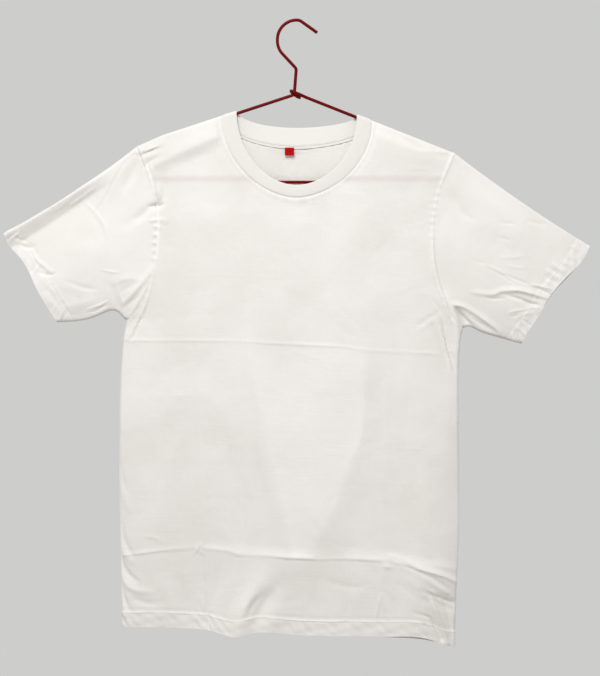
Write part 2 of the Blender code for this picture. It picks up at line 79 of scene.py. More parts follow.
body = {
    "wall": 1.2,
    "hemWall": 2.3,  # jersey turned up inside
    "cover": 3.8,  # from the wire's centre line up to the cloth over it
    "armReach": 188,  # the shoulders follow the arms this far out
    "armholeGap": 0.04,
    "panelGap": 0.5,
    "edgeRadius": 5,  # a folded edge is pressed to this
    "edgeReach": 60,  # the cloth comes to its full depth this far in
    "foldSteps": (25, 37),  # points down a sleeve's fold and down the body's
    "foldPast": 1.3,  # a sleeve's folds are followed past the cuff, and the body's past the hem
    "foldBelow": 60,
    "sleeveTurn": (-475, -410),  # between these heights the body's depth gives way to a sleeve's
    "backScoop": 0.85,
    "armhole": (  # share of the way down, how far it is scooped in
        (0.00, 0), (0.11, 12), (0.20, 22), (0.30, 29.5), (0.42, 34.5), (0.55, 36.5),
        (0.68, 34), (0.80, 28), (0.90, 21), (0.965, 11), (1.00, 0),
    ),
    "rightEdge": ((-445, -243.5), (-490, -246.5), (-560, -248.5), (-640, -249), (-720, -247.5),
                  (-790, -246), (-847, -244.5)),
    "leftEdge": ((-445, 229), (-490, 227), (-560, 227), (-640, 227.5), (-720, 227), (-790, 224),
                 (-847, 222)),
    # height, how far the cloth stands from the hanger's plane
    "frontDepth": ((-100, 4.0), (-175, 4.8), (-225, 5.8), (-330, 9.5), (-450, 13), (-650, 16), (-880, 18)),
    "backDepth": ((-100, 4.0), (-175, 5.6), (-225, 7.2), (-330, 9.5), (-450, 11.5), (-650, 13), (-880, 14)),
    "frontHem": ((-244.5, -847), (-165, -848.5), (-125, -850.5), (-87, -858.5), (-62, -854), (5, -858.5),
                 (117, -861.5), (187, -866), (206, -873), (221.5, -874.5)),
    "backHem": ((-244.5, -847), (-165, -849), (-125, -852), (-87, -855), (-62, -855), (5, -857),
                (117, -864.5), (187, -869), (206, -872.5), (221.5, -874.5)),
    "frontDrapes": (  # x and z of the top, x and z of the foot, width, depth
        (-40, -730, -86, -900, 34, 9), (-150, -700, -185, -900, 60, -3),
        (60, -640, 10, -900, 60, -5), (150, -560, 170, -900, 55, 3),
    ),
    "backDrapes": ((90, -600, 70, -900, 55, 4), (-120, -560, -100, -900, 60, 4)),
}

# a neck line: half its width, how deep it is in front and behind, and how far it is from a half ellipse
neckSeam = {"half": 105, "front": 112, "back": 39.3, "taper": 1.12}
neckEdge = {"half": 84, "front": 101.8, "back": 20, "taper": 1.05}

# A sleeve's corners are x and z, front and back say how far its cuff stands from the hanger's plane, and
# the body's depth turns into the cuff's between starts and ends, in x.
sleeves = {
    -1: {
        "shoulder": (-224, -175), "underarm": (-238, -418), "cuffTop": (-408, -296), "cuffLow": (-335, -421),
        "topSag": 6, "underRise": 18, "underPeak": 0.24,
        "front": 15, "back": 13, "starts": 214.0, "ends": 408.0,
        "cuff": ((0, 0), (0.13, -4.5), (0.31, 2.5), (0.65, 0), (1, 0)),
    },
    1: {
        "shoulder": (221, -184.5), "underarm": (233, -429), "cuffTop": (410, -314), "cuffLow": (314, -451),
        "topSag": 4, "underRise": 5, "underPeak": 0.12,
        "front": 12, "back": 11, "starts": 211.0, "ends": 410.0,
        "cuff": ((0, 0), (0.2, -4), (0.5, 3.5), (0.75, 1), (1, 0)),
    },
}


studio = {
    "middle": (4.6, -443.1),  # what the camera faces, at the hanger's plane
    "distance": 2000,
    "sensor": 36,
    "frameHeight": 946.4,
    "wall": "#CDCDCC",
    "floorDrop": 1760,
    "floorReach": 5400,
    "floorShift": 2400,  # towards the camera, so that its far edge stays below the frame
    "keyPlace": (-0.35, -1.8, 0.95),  # metres, a little to the left of the camera and above it
    "keyAim": (0, 0, -0.4),
    "keySize": 1.0,
    "keyPower": 31,
    "fillPlace": (1.5, 2.0, 1.0),  # behind, so that the back has shape as well
    "fillSize": 1.6,
    "fillPower": 23,
}


def smoothTable(rows):
    # a smooth curve through a short table, its slopes read from the neighbours
    keys, values = np.array(sorted(rows), float).T
    slopes = np.gradient(values, keys)

    def at(key):
        key = np.clip(key, keys[0], keys[-1])
        i = np.clip(np.searchsorted(keys, key) - 1, 0, len(keys) - 2)
        span = keys[i + 1] - keys[i]
        t = (key - keys[i]) / span
        return (
            values[i] * (2 * t**3 - 3 * t**2 + 1) + slopes[i] * span * (t**3 - 2 * t**2 + t)
            + values[i + 1] * (3 * t**2 - 2 * t**3) + slopes[i + 1] * span * (t**3 - t**2)
        )

    return at


def smoothStep(low, high, value):
    t = np.clip((value - low) / (high - low), 0, 1)
    return t * t * (3 - 2 * t)


armholeInset = smoothTable(body["armhole"])
bodyEdge = {-1: smoothTable(body["rightEdge"]), 1: smoothTable(body["leftEdge"])}
bodyDepth = {True: smoothTable(body["frontDepth"]), False: smoothTable(body["backDepth"])}
hemHeight = {True: smoothTable(body["frontHem"]), False: smoothTable(body["backHem"])}
cuffInset = {side: smoothTable(sleeve["cuff"]) for side, sleeve in sleeves.items()}


def lineAt(value, start, end, first, last):
    return first + (last - first) * (value - start) / (end - start)


def armLine(x, side):
    bends = hanger["bends"]
    a, b = (bends["neckFoot"], bends["rightEndTop"]) if side < 0 else (bends["armRoot"], bends["leftEndTop"])
    return lineAt(x, a[0], b[0], a[1], b[1])


def shoulderFold(side):
    # the top fold over one arm, from the neck's middle out to the sleeve
    slope = armLine(1, side) - armLine(0, side)
    cover = body["cover"] * math.hypot(1, slope)
    reach = [side * away for away in (0, neckEdge["half"], neckSeam["half"], body["armReach"])]
    return [(x, armLine(x, side) + cover) for x in reach] + [sleeves[side]["shoulder"]]


def between(a, b, share):
    return a[0] + (b[0] - a[0]) * share, a[1] + (b[1] - a[1]) * share


def sleeveTop(side, share):
    sleeve = sleeves[side]
    x, z = between(sleeve["shoulder"], sleeve["cuffTop"], share)
    return x, z - 4 * share * (1 - share) * sleeve["topSag"]


def sleeveUnder(side, share):
    sleeve = sleeves[side]
    x, z = between(sleeve["underarm"], sleeve["cuffLow"], share)
    ratio = share / sleeve["underPeak"]
    return x, z + sleeve["underRise"] * (ratio * np.exp(1 - ratio)) ** 2 * (1 - share)


def sleeveCuff(side, share):
    x, z = between(sleeves[side]["cuffTop"], sleeves[side]["cuffLow"], share)
    return x - side * cuffInset[side](share), z


def armhole(side, share, scoop=1.0, shift=0.0):
    x, z = between(sleeves[side]["shoulder"], sleeves[side]["underarm"], share)
    return x - side * (armholeInset(share) * scoop - shift), z


def sideFold(side, share):
    # the body's folded edge, from the underarm at 0 to the hem at 1
    underarm = sleeves[side]["underarm"]
    top = body["rightEdge"][0][0]
    z = underarm[1] + (body["frontHem"][0 if side < 0 else -1][1] - underarm[1]) * share
    edge = bodyEdge[side](z)
    return np.where(z > top, lineAt(z, underarm[1], top, underarm[0], edge), edge), z


def foldSegments():
    # every folded edge cut into short straight runs, each with the direction that points into the cloth
    along, down = (np.linspace(0, 1, steps) for steps in body["foldSteps"])
    segments = []
    for side in sides:
        top = shoulderFold(side) + [sleeveTop(side, share) for share in (*along[1:], body["foldPast"])]
        under = [sleeveUnder(side, share) for share in (body["foldPast"], *along[::-1])]
        under += [sideFold(side, share) for share in down[1:]]
        under.append((under[-1][0], under[-1][1] - body["foldBelow"]))
        for line in (top, under):
            for (ax, az), (bx, bz) in zip(line, line[1:]):
                dx, dz = float(bx - ax), float(bz - az)
                size = math.hypot(dx, dz)
                segments.append((float(ax), float(az), dx, dz, side * dz / size, -side * dx / size))
    return segments


folds = foldSegments()


def foldDistance(x, z):
    # how far the nearest folded edge is, and the direction away from it
    nearest = np.full(x.shape, 1e9)
    awayX, awayZ = np.zeros(x.shape), np.zeros(x.shape)
    for ax, az, dx, dz, inX, inZ in folds:
        t = np.clip(((x - ax) * dx + (z - az) * dz) / (dx * dx + dz * dz), 0, 1)
        offX, offZ = x - ax - t * dx, z - az - t * dz
        far = np.hypot(offX, offZ)
        closer = far < nearest
        safe = np.maximum(far, 1e-9)
        awayX = np.where(closer, np.where(far > 0.02, offX / safe, inX), awayX)
        awayZ = np.where(closer, np.where(far > 0.02, offZ / safe, inZ), awayZ)
        nearest = np.where(closer, far, nearest)
    return nearest, awayX, awayZ


def drapeAt(drapes, x, z):
    total = np.zeros(x.shape)
    for xTop, zTop, xFoot, zFoot, width, depth in drapes:
        down = np.clip((z - zTop) / (zFoot - zTop), 0, None)
        middle = xTop + (xFoot - xTop) * down
        total += depth * smoothStep(0, 1, down) * np.exp(-(((x - middle) / width) ** 2))
    return total


def clothForm(x, z, front):
    # the smooth form's points, its outward normals and the distance to the nearest fold
    names = ("front" if front else "back", "starts", "ends")
    sideCuff, start, end = (np.where(x < 0, sleeves[-1][name], sleeves[1][name]) for name in names)
    depth = bodyDepth[front](z)
    out = smoothStep(0, 1, (np.abs(x) - start) / (end - start)) * smoothStep(*body["sleeveTurn"], z)
    depth = depth + (sideCuff - depth) * out
    away, awayX, awayZ = foldDistance(x, z)
    height = depth + drapeAt(body["frontDrapes"] if front else body["backDrapes"], x, z)
    edge = np.minimum(body["edgeRadius"], depth)
    low = 1 - np.minimum(1, away / edge)
    high = np.sqrt(np.clip(1 - low**2, 0, None))
    rest = 1 - np.minimum(1, away / body["edgeReach"])
    facing = -1 if front else 1
    points = np.stack([x, facing * (edge * high + (height - edge) * (1 - rest**2)), z], -1)
    tilt = low + high * (height - edge) * 2 * rest / body["edgeReach"]
    normals = np.stack([-awayX * tilt, facing * high, -awayZ * tilt], -1)
    normals /= np.linalg.norm(normals, axis=-1, keepdims=True)
    return points, normals, away


def shoulderHeight(x):
    line = sorted(shoulderFold(-1)[1:] + shoulderFold(1)[1:])
    return np.interp(x, [p[0] for p in line], [p[1] for p in line])


def neckCurve(line, front, angle, shift=0.0):
    # a neck line from the wearer's right shoulder at 0 to the left one at pi
    across = -np.sign(np.cos(angle)) * np.abs(np.cos(angle)) ** line["taper"]
    half = line["half"] + shift
    right, left = shoulderHeight(-half), shoulderHeight(half)
    ends = (right + left) / 2 + (left - right) / 2 * across**3
    return half * across, ends - (line["front" if front else "back"] + shift) * np.sin(angle)


def sleevePlace(side, along, down, scoop):
    # a point of the sleeve's outline: along from armhole to cuff, down from the top fold to the under one
    sleeve = sleeves[side]
    seam = armhole(side, down, scoop, body["armholeGap"] / 2)
    cuff, top, under = sleeveCuff(side, down), sleeveTop(side, along), sleeveUnder(side, along)
    result = []
    for i in (0, 1):
        edges = (1 - along) * seam[i] + along * cuff[i] + (1 - down) * top[i] + down * under[i]
        corners = (1 - along) * ((1 - down) * sleeve["shoulder"][i] + down * sleeve["underarm"][i])
        corners = corners + along * ((1 - down) * sleeve["cuffTop"][i] + down * sleeve["cuffLow"][i])
        result.append(edges - corners)
    return result


# A crease is (reach to the left of its run, reach to the right, roundness, its points as x, z, height).
# Positive heights stand out, negative ones are troughs, and a point without a height lies flat.
# Where a crease runs to the right, its left is above.

frontCreases = (
    # the two packing folds across the front, pressed out as fine ridges with a shadow below
    (5, 2.8, 0.6, ((-240, -447), (-228, -447, 0.7), (-184, -447, 0.55), (-134, -447, 0.75),
        (-79, -448, 0.4), (-28, -451, 0.75), (37, -454, 0.9), (69, -456, 0.5), (96, -460, 0.6),
        (145, -463, 0.45), (185, -465, 0.6), (212, -466))),
    (3, 3, 0.6, ((-35, -467), (-23, -467, 0.6), (5, -468, 0.3), (34, -471, 0.6), (44, -471))),
    (7, 2.8, 0.6, ((-246, -748), (-236, -747, 1), (-190, -741, 1.1), (-156, -738, 0.9),
        (-138, -736, 0.4))),
    (6, 3, 0.6, ((-133, -737, 0.4), (-126, -738, 1.3), (-96, -741, 1.1), (-82, -746, 1.7),
        (-74, -747, 0.5), (-37, -748, 0.9), (-16, -750, 1.9), (5, -751, 2.4), (21, -752, 1.7),
        (30, -753, 0.6), (69, -752, 1.2), (94, -753, 1.6), (114, -754, 1.1), (122, -754, 0.2))),
    (2.8, 2.8, 0.5, ((-147, -750), (-142, -743, 1.1), (-136, -734, 1.3), (-131, -730))),
    (2.6, 2.6, 0.5, ((-145, -734), (-141, -738, 0.9), (-134, -743, 0.9), (-128, -748))),
    (8, 3.2, 0.6, ((124, -750), (130, -752, 1.1), (138, -757, 1), (159, -762, 1.3), (168, -766, 1.8),
        (187, -771, 2.2), (206, -777, 2.2), (220, -784, 1.8), (227, -788))),
    (3.4, 3.4, 0.6, ((128, -746), (136, -749, 1.7), (146, -752, 1.1), (158, -757, 1.8),
        (170, -765, 0.6), (176, -768))),
    (3, 3, 0.6, ((140, -757), (152, -761, -1.3), (166, -767, -1.5), (178, -773))),
    (5, 5, 1.8, ((118, -762), (127, -763, 1.5), (133, -767))),
    (12, 7, 3, ((180, -755), (201, -762, 1.8), (226, -768, 1.3))),
    # up and down packing creases
    (6, 6, 1.0, ((-135, -380), (-134, -421, -0.2), (-133, -530, -0.3), (-128, -670, -0.35),
        (-127, -741, -0.5), (-126, -800, -0.8), (-124, -835, -0.7), (-122, -850, -0.4))),
    (3, 3, 0.6, ((-127, -745), (-126, -780, -0.7), (-125, -820, -1.1), (-123, -848, -0.9), (-122, -866))),
    (7, 7, 1.0, ((128, -471), (126, -540, 0.35), (124, -600, 0.4), (122, -747, 0.5), (120, -789, 0.5),
        (118, -800, 0.2))),
    (3.4, 3.4, 0.6, ((119, -798), (116, -814, 1.5), (112, -835, 1.3), (110, -852))),
    (3.4, 3.4, 0.6, ((120, -801), (122, -818, 1.5), (126, -835, 1.2), (127, -852))),
    (5, 5, 0.8, ((-240, -526), (-200, -526, 0.25), (-135, -526, 0.2), (-110, -526))),
    (5, 5, 0.8, ((-40, -526), (-28, -526, 0.25), (10, -526, 0.25), (20, -526))),
    (5, 5, 0.8, ((-175, -610), (-120, -612, 0.25), (-60, -612, 0.15), (-21, -614))),
    (5, 5, 0.8, ((40, -639), (100, -642, 0.25), (180, -646, 0.2), (215, -648))),
    # the long light facet down the middle
    (60, 16, 4, ((-60, -330), (-63, -400, 1.8), (-63, -530, 2.6), (-57, -583, 2.6), (-44, -634, 2.0),
        (-30, -681, 1.2), (-16, -719))),
    (5, 5, 1.2, ((-63, -354), (-63, -432, 0.35), (-63, -530, 0.4), (-57, -583, 0.5), (-44, -634, 0.5),
        (-30, -681, 0.4), (-16, -719))),
    (60, 80, 5, ((88, -320), (92, -380, 2.0), (94, -461, 5.0), (92, -540, 6.0), (84, -600, 5.6),
        (69, -640, 4.8), (54, -690, 3.4), (34, -735))),
    (5, 5, 1.2, ((94, -446), (93, -559, 0.45), (84, -597, 0.5), (69, -622, 0.45), (54, -677, 0.4),
        (30, -715))),
    (3, 4, 0.8, ((112, -716), (117, -736, -0.5), (119, -757, -0.7), (118, -772))),
    (40, 70, 4, ((-191, -565), (-169, -530, 1.4), (-141, -519, 1.6), (-105, -544, 1.6),
        (-79, -600, 1.2), (-63, -670))),
    # below the lower packing fold the front falls back
    (14, 70, 5, ((40, -748), (90, -752, 2.2), (140, -758, 4.0), (185, -770, 4.6), (215, -782, 3.4),
        (228, -790, 2.0))),
    (12, 60, 5, ((-150, -742), (-110, -742, 1.6), (-60, -747, 2.2), (-10, -751, 2.4), (30, -752, 1.2),
        (60, -754))),
    # a soft ridge that pulls the hem down, with a hollow beside it
    (34, 19, 5, ((-40, -762), (-51, -786, 1.6), (-64, -807, 4.2), (-74, -825, 6), (-80, -844, 6.6),
        (-83, -866, 6))),
    (20, 19, 5, ((-19, -771), (-29, -793, -2.8), (-42, -811, -6.0), (-51, -826, -6.4),
        (-59, -845, -3.6), (-64, -866, -1))),
    (5, 6, 1.2, ((-47, -801), (-56, -811, -2.2), (-62, -820, -3.4), (-67, -831, -2.4), (-71, -841))),
    (22, 20, 6, ((-22, -770), (-28, -815, 0.8), (-40, -860, 1.2))),
    (3, 3, 0.8, ((-54, -796), (-63, -810, 0.6), (-71, -820, 0.5), (-78, -827))),
    (14, 16, 5, ((5, -775), (9, -807, 1.2), (13, -838, 1.6), (16, -866, 1.2))),
    (5, 5, 1.4, ((-141, -810), (-133, -825, -0.8), (-127, -841, -0.9), (-126, -855, -0.4))),
    (10, 12, 3, ((47, -754), (42, -789, 1), (45, -824, 1.2), (51, -860, 0.8))),
    (9, 11, 3, ((77, -774), (73, -804, -1), (69, -838, -1.2), (68, -860, -0.6))),
    (8, 9, 2.4, ((-166, -771), (-159, -794, -1), (-155, -824, -1), (-152, -849, -0.5))),
    (9, 9, 2.4, ((-105, -754), (-110, -782, -0.9), (-116, -810, -0.8), (-117, -827))),
    (12, 12, 4, ((-191, -775), (-177, -810, 1.4), (-175, -846, 1.2))),
    (7, 8, 2.0, ((30, -778), (55, -788, -0.8), (83, -793, -0.9), (105, -788))),
    (6, 7, 1.8, ((122, -796), (136, -816, -1), (142, -841, -1), (143, -858, -0.6))),
    # drag folds off the right side seam
    (5.5, 7, 1.0, ((-247, -700, -0.8), (-243, -722, -1.7), (-239, -733, -1.7), (-232, -744, -1),
        (-226, -750))),
    (8, 8, 1.8, ((-246, -735, 0.8), (-236, -752, 1.2), (-225, -760))),
    (5, 7, 1.0, ((-247, -750, -1.2), (-244, -760, -2.1), (-238, -771, -2.6), (-229, -780, -2),
        (-218, -786))),
    (7, 7, 1.6, ((-247, -770, 1.2), (-240, -786, 2.1), (-228, -796, 2), (-210, -800, 1.1), (-195, -799))),
    (4, 5.5, 0.9, ((-247, -785, -0.9), (-243, -805, -2), (-237, -820, -1.9), (-230, -832))),
    (8, 8, 2.0, ((-232, -806), (-222, -812, -1.5), (-205, -817, -1.3), (-180, -815))),
    (5, 5, 1.2, ((-246, -810, 0.8), (-241, -827, 1.4), (-235, -841, 0.8), (-229, -852))),
    (2.6, 3, 0.7, ((-218, -722), (-208, -721, 0.7), (-196, -724, 0.7), (-182, -730))),
    (7, 7, 2.0, ((-247, -654, 0.5), (-238, -675, 1), (-228, -690))),
    (5.5, 8, 1.6, ((-249, -610, -0.6), (-244, -640, -1.1), (-236, -662))),
    # the crumpled lower left corner
    (4.5, 4, 0.8, ((166, -766), (178, -774, -1.6), (191, -780, -2), (206, -790, -1.6), (217, -797))),
    (5, 4.5, 1.0, ((173, -773), (187, -786, 1.4), (202, -796, 1.6), (217, -804, 1), (226, -810))),
    (5, 4.5, 1.0, ((171, -796), (184, -802, -1.7), (201, -808, -2.6), (215, -813, -2.8),
        (226, -815, -1.8))),
    (2.8, 2.8, 0.5, ((182, -794), (188, -799, 1.6), (193, -804, 1.8), (197, -808))),
    (2.8, 3, 0.5, ((182, -800), (188, -807, -1.5), (194, -813, -1.7), (199, -817))),
    (5.5, 4.5, 1.0, ((186, -806), (191, -818, 3.2), (198, -836, 4.4), (206, -856, 4.0),
        (211, -872, 2.4))),
    (5, 5, 1.0, ((175, -806), (183, -818, -2.0), (189, -834, -2.8), (196, -852, -2.6), (203, -868, -2))),
    (4, 4, 0.8, ((158, -829), (170, -833, -1.2), (187, -839, -2.4), (196, -852, -2.6),
        (204, -868, -2.2))),
    (5.5, 5.5, 1.3, ((205, -815), (211, -830, -2), (216, -850, -1.8), (219, -865))),
    (3.4, 3.4, 0.8, ((209, -814), (216, -827, 1.3), (222, -844, 1.3), (224, -858))),
    (24, 10, 3.0, ((166, -806), (190, -814, -2.0), (212, -820, -3.0), (226, -824, -2.2))),
    (5, 5, 1.4, ((150, -775), (165, -790, 1.1), (172, -800))),
    (4, 4, 1.0, ((139, -782), (150, -793, -0.8), (160, -804, -0.8), (167, -813))),
    # shoulders: where the arm's end pushes the cloth out, and the folds that run from it
    (9, 2.6, 0.6, ((-224, -184, 1), (-218, -183, 2), (-208, -180, 2.2), (-197, -176, 1.8),
        (-187, -173, 0.8), (-180, -170))),
    (2.6, 3.4, 0.7, ((-221, -190), (-215, -187, -1.4), (-203, -182, -1.5), (-191, -177, -0.8),
        (-183, -174))),
    (3.2, 3.2, 0.7, ((-217, -208), (-212, -202, -1.5), (-205, -196, -1.7), (-196, -191, -1.1),
        (-184, -187))),
    (5, 4, 1.4, ((-221, -194), (-214, -192, 1.2), (-203, -188, 1), (-191, -185))),
    (4, 4, 1.4, ((-205, -211), (-196, -201, 0.9), (-182, -195, 0.7), (-163, -191))),
    # below the top folds the cloth leans forward, then falls back to the bar
    (16, 74, 4, ((-49, -141), (-79, -149, 2.5), (-116, -163, 5), (-155, -180, 5.5), (-186, -194, 3.5),
        (-211, -208))),
    (74, 14, 4, ((217, -205), (195, -194, 2), (161, -180, 3.4), (128, -167, 3.2), (97, -155, 1.6),
        (75, -146))),
    # the allowance stands up beside the seam, down to a deep pinch where the armhole turns
    (3, 3.2, 0.7, ((-207, -195), (-204, -204, 1.5), (-201, -216, 2.2), (-198, -232, 2.4),
        (-195, -244, 2), (-193, -253, 0.8))),
    (8, 8, 2.0, ((-190, -205), (-187, -218, -1.5), (-185, -233, -2.4), (-187, -247, -2.8),
        (-193, -258, -2), (-197, -265))),
    (4, 4.4, 0.6, ((-206, -259, -1.5), (-201, -258, -5), (-196, -257, -6.5), (-191, -257, -4.5),
        (-185, -255, -0.8))),
    (7, 5, 1.2, ((-200, -240), (-196, -247, -1.8), (-193, -254, -2.4), (-190, -262))),
    (4, 4, 1.4, ((-208, -280), (-203, -279, 1.4), (-194, -278, 2.0), (-184, -279, 1.4), (-176, -279))),
    (4, 4, 1.4, ((-202, -288), (-198, -287, 1.8), (-193, -288, 1.8), (-187, -288))),
    (4, 4, 1.4, ((-203, -299), (-200, -299, 1.6), (-196, -299, 1.6), (-191, -299))),
    (4, 4, 1.4, ((-204, -310), (-201, -310, 1.5), (-197, -310, 1.5), (-191, -310))),
    (3.6, 3.6, 1.2, ((-204, -321), (-202, -321, 1.1), (-198, -321, 1.1), (-194, -322))),
    (3.6, 3.6, 1.2, ((-204, -332), (-202, -332, 0.9), (-198, -332, 0.9), (-191, -333, 0.3),
        (-175, -336))),
    (5, 2.6, 0.7, ((161, -181), (175, -182, 0.8), (189, -183, 1.2), (206, -184, 1.1), (213, -184))),
    (4, 3, 0.8, ((139, -153), (152, -161, 0.9), (170, -170, 1.1), (182, -177, 0.7), (192, -180))),
    (3, 3, 0.8, ((150, -206), (162, -206, 0.4), (180, -206, 0.35), (189, -206))),
    # the hanger's bar, felt through the cloth
    (5, 14, 2.5, ((-191, -216), (-183, -220, 0.3), (-149, -222, 0.4), (-93, -222, 0.35),
        (-63, -222, 0.1))),
    (5, 14, 2.5, ((86, -222, 0.1), (100, -223, 0.4), (150, -223, 0.5), (189, -222, 0.55),
        (202, -216, 0.3))),
    # soft chest folds from the neck and shoulders
    (18, 22, 6, ((-195, -230), (-178, -262, 0.8), (-160, -300, 0.6), (-150, -340))),
    (2.3, 3.1, 0.7, ((149, -272), (155, -282, 0.4), (166, -302, 0.3), (172, -314))),
    (3.9, 4.7, 1.1, ((110, -240), (122, -262, 0.3), (136, -292, 0.3), (142, -310))),
    (3.9, 5.5, 1.1, ((132, -232), (142, -252, 0.3), (154, -268))),
    (30, 34, 10, ((-120, -240), (-104, -300, 0.9), (-92, -360, 0.6), (-84, -430))),
    (28, 36, 10, ((60, -270), (66, -330, 0.7), (80, -400))),
    (16, 20, 6, ((0, -250), (-3, -290, 0.5), (0, -340, 0.3), (2, -390))),
    # the armholes' low ends and the underarms
    (4, 7, 1.0, ((191, -296, 0.6), (191, -326, 1.5), (194, -351, 2.2), (200, -372, 2.8),
        (207, -391, 3.4), (212, -410, 3.0), (217, -430, 1.8), (220, -450))),
    (12, 9, 3, ((204, -376), (211, -392, 2.6), (219, -408, 4.4), (223, -426, 4.2), (224, -445, 2.6),
        (224, -470))),
    (4, 4, 0.8, ((202, -408), (205, -424, -2.4), (209, -444, -3.6), (214, -463, -3.6),
        (219, -479, -2.4), (223, -496))),
    (5, 4, 1.2, ((186, -419), (192, -432, -1.4), (201, -453, -2.6), (209, -471, -2.2), (213, -488))),
    (3, 3.6, 0.8, ((195, -415), (203, -433, 1.4), (209, -457, 1.6), (215, -477, 0.8), (217, -491))),
    (3, 3, 0.8, ((189, -384), (195, -394, -1.2), (201, -405, -1.4), (205, -415))),
    (2.8, 2.8, 0.5, ((166, -428), (172, -424, -1.2), (184, -416, -1.4), (196, -409, -1.2), (203, -402))),
    (3.4, 3.4, 0.8, ((167, -433), (174, -430, 0.8), (187, -421, 0.9), (198, -414))),
    (10, 8, 3.0, ((222, -407, 0.8), (224, -435, 2.2), (224, -461, 1.8), (225, -489))),
    (14, 16, 5.0, ((176, -380), (184, -398, -0.8), (190, -412, -0.4), (194, -425))),
    (3.6, 2.8, 0.7, ((-200, -345), (-204, -372, 1), (-214, -402, 1.5), (-224, -424, 1.7),
        (-233, -440, 1.3), (-240, -450))),
    (2.6, 3.4, 0.7, ((-206, -395), (-213, -408, -1.2), (-222, -426, -2), (-228, -440, -1.4),
        (-232, -448))),
    (3, 4, 0.9, ((-221, -398), (-226, -410, -0.9), (-233, -425, -1.1), (-238, -436))),
    (5.5, 5.5, 1.6, ((-238, -424), (-241, -440, 1.2), (-244, -462, 0.9), (-246, -490))),
    (26, 20, 8, ((-210, -470), (-225, -500, 0.7), (-236, -545, 0.7), (-240, -600))),
    (24, 24, 8, ((-150, -560), (-175, -620, 0.8), (-190, -690, 0.8), (-200, -735))),
    (30, 30, 10, ((150, -500), (165, -570, -0.8), (172, -650, -0.8), (180, -720))),
    (16, 18, 5, ((205, -510), (212, -560, 0.9), (214, -620, 0.8), (212, -700))),
)

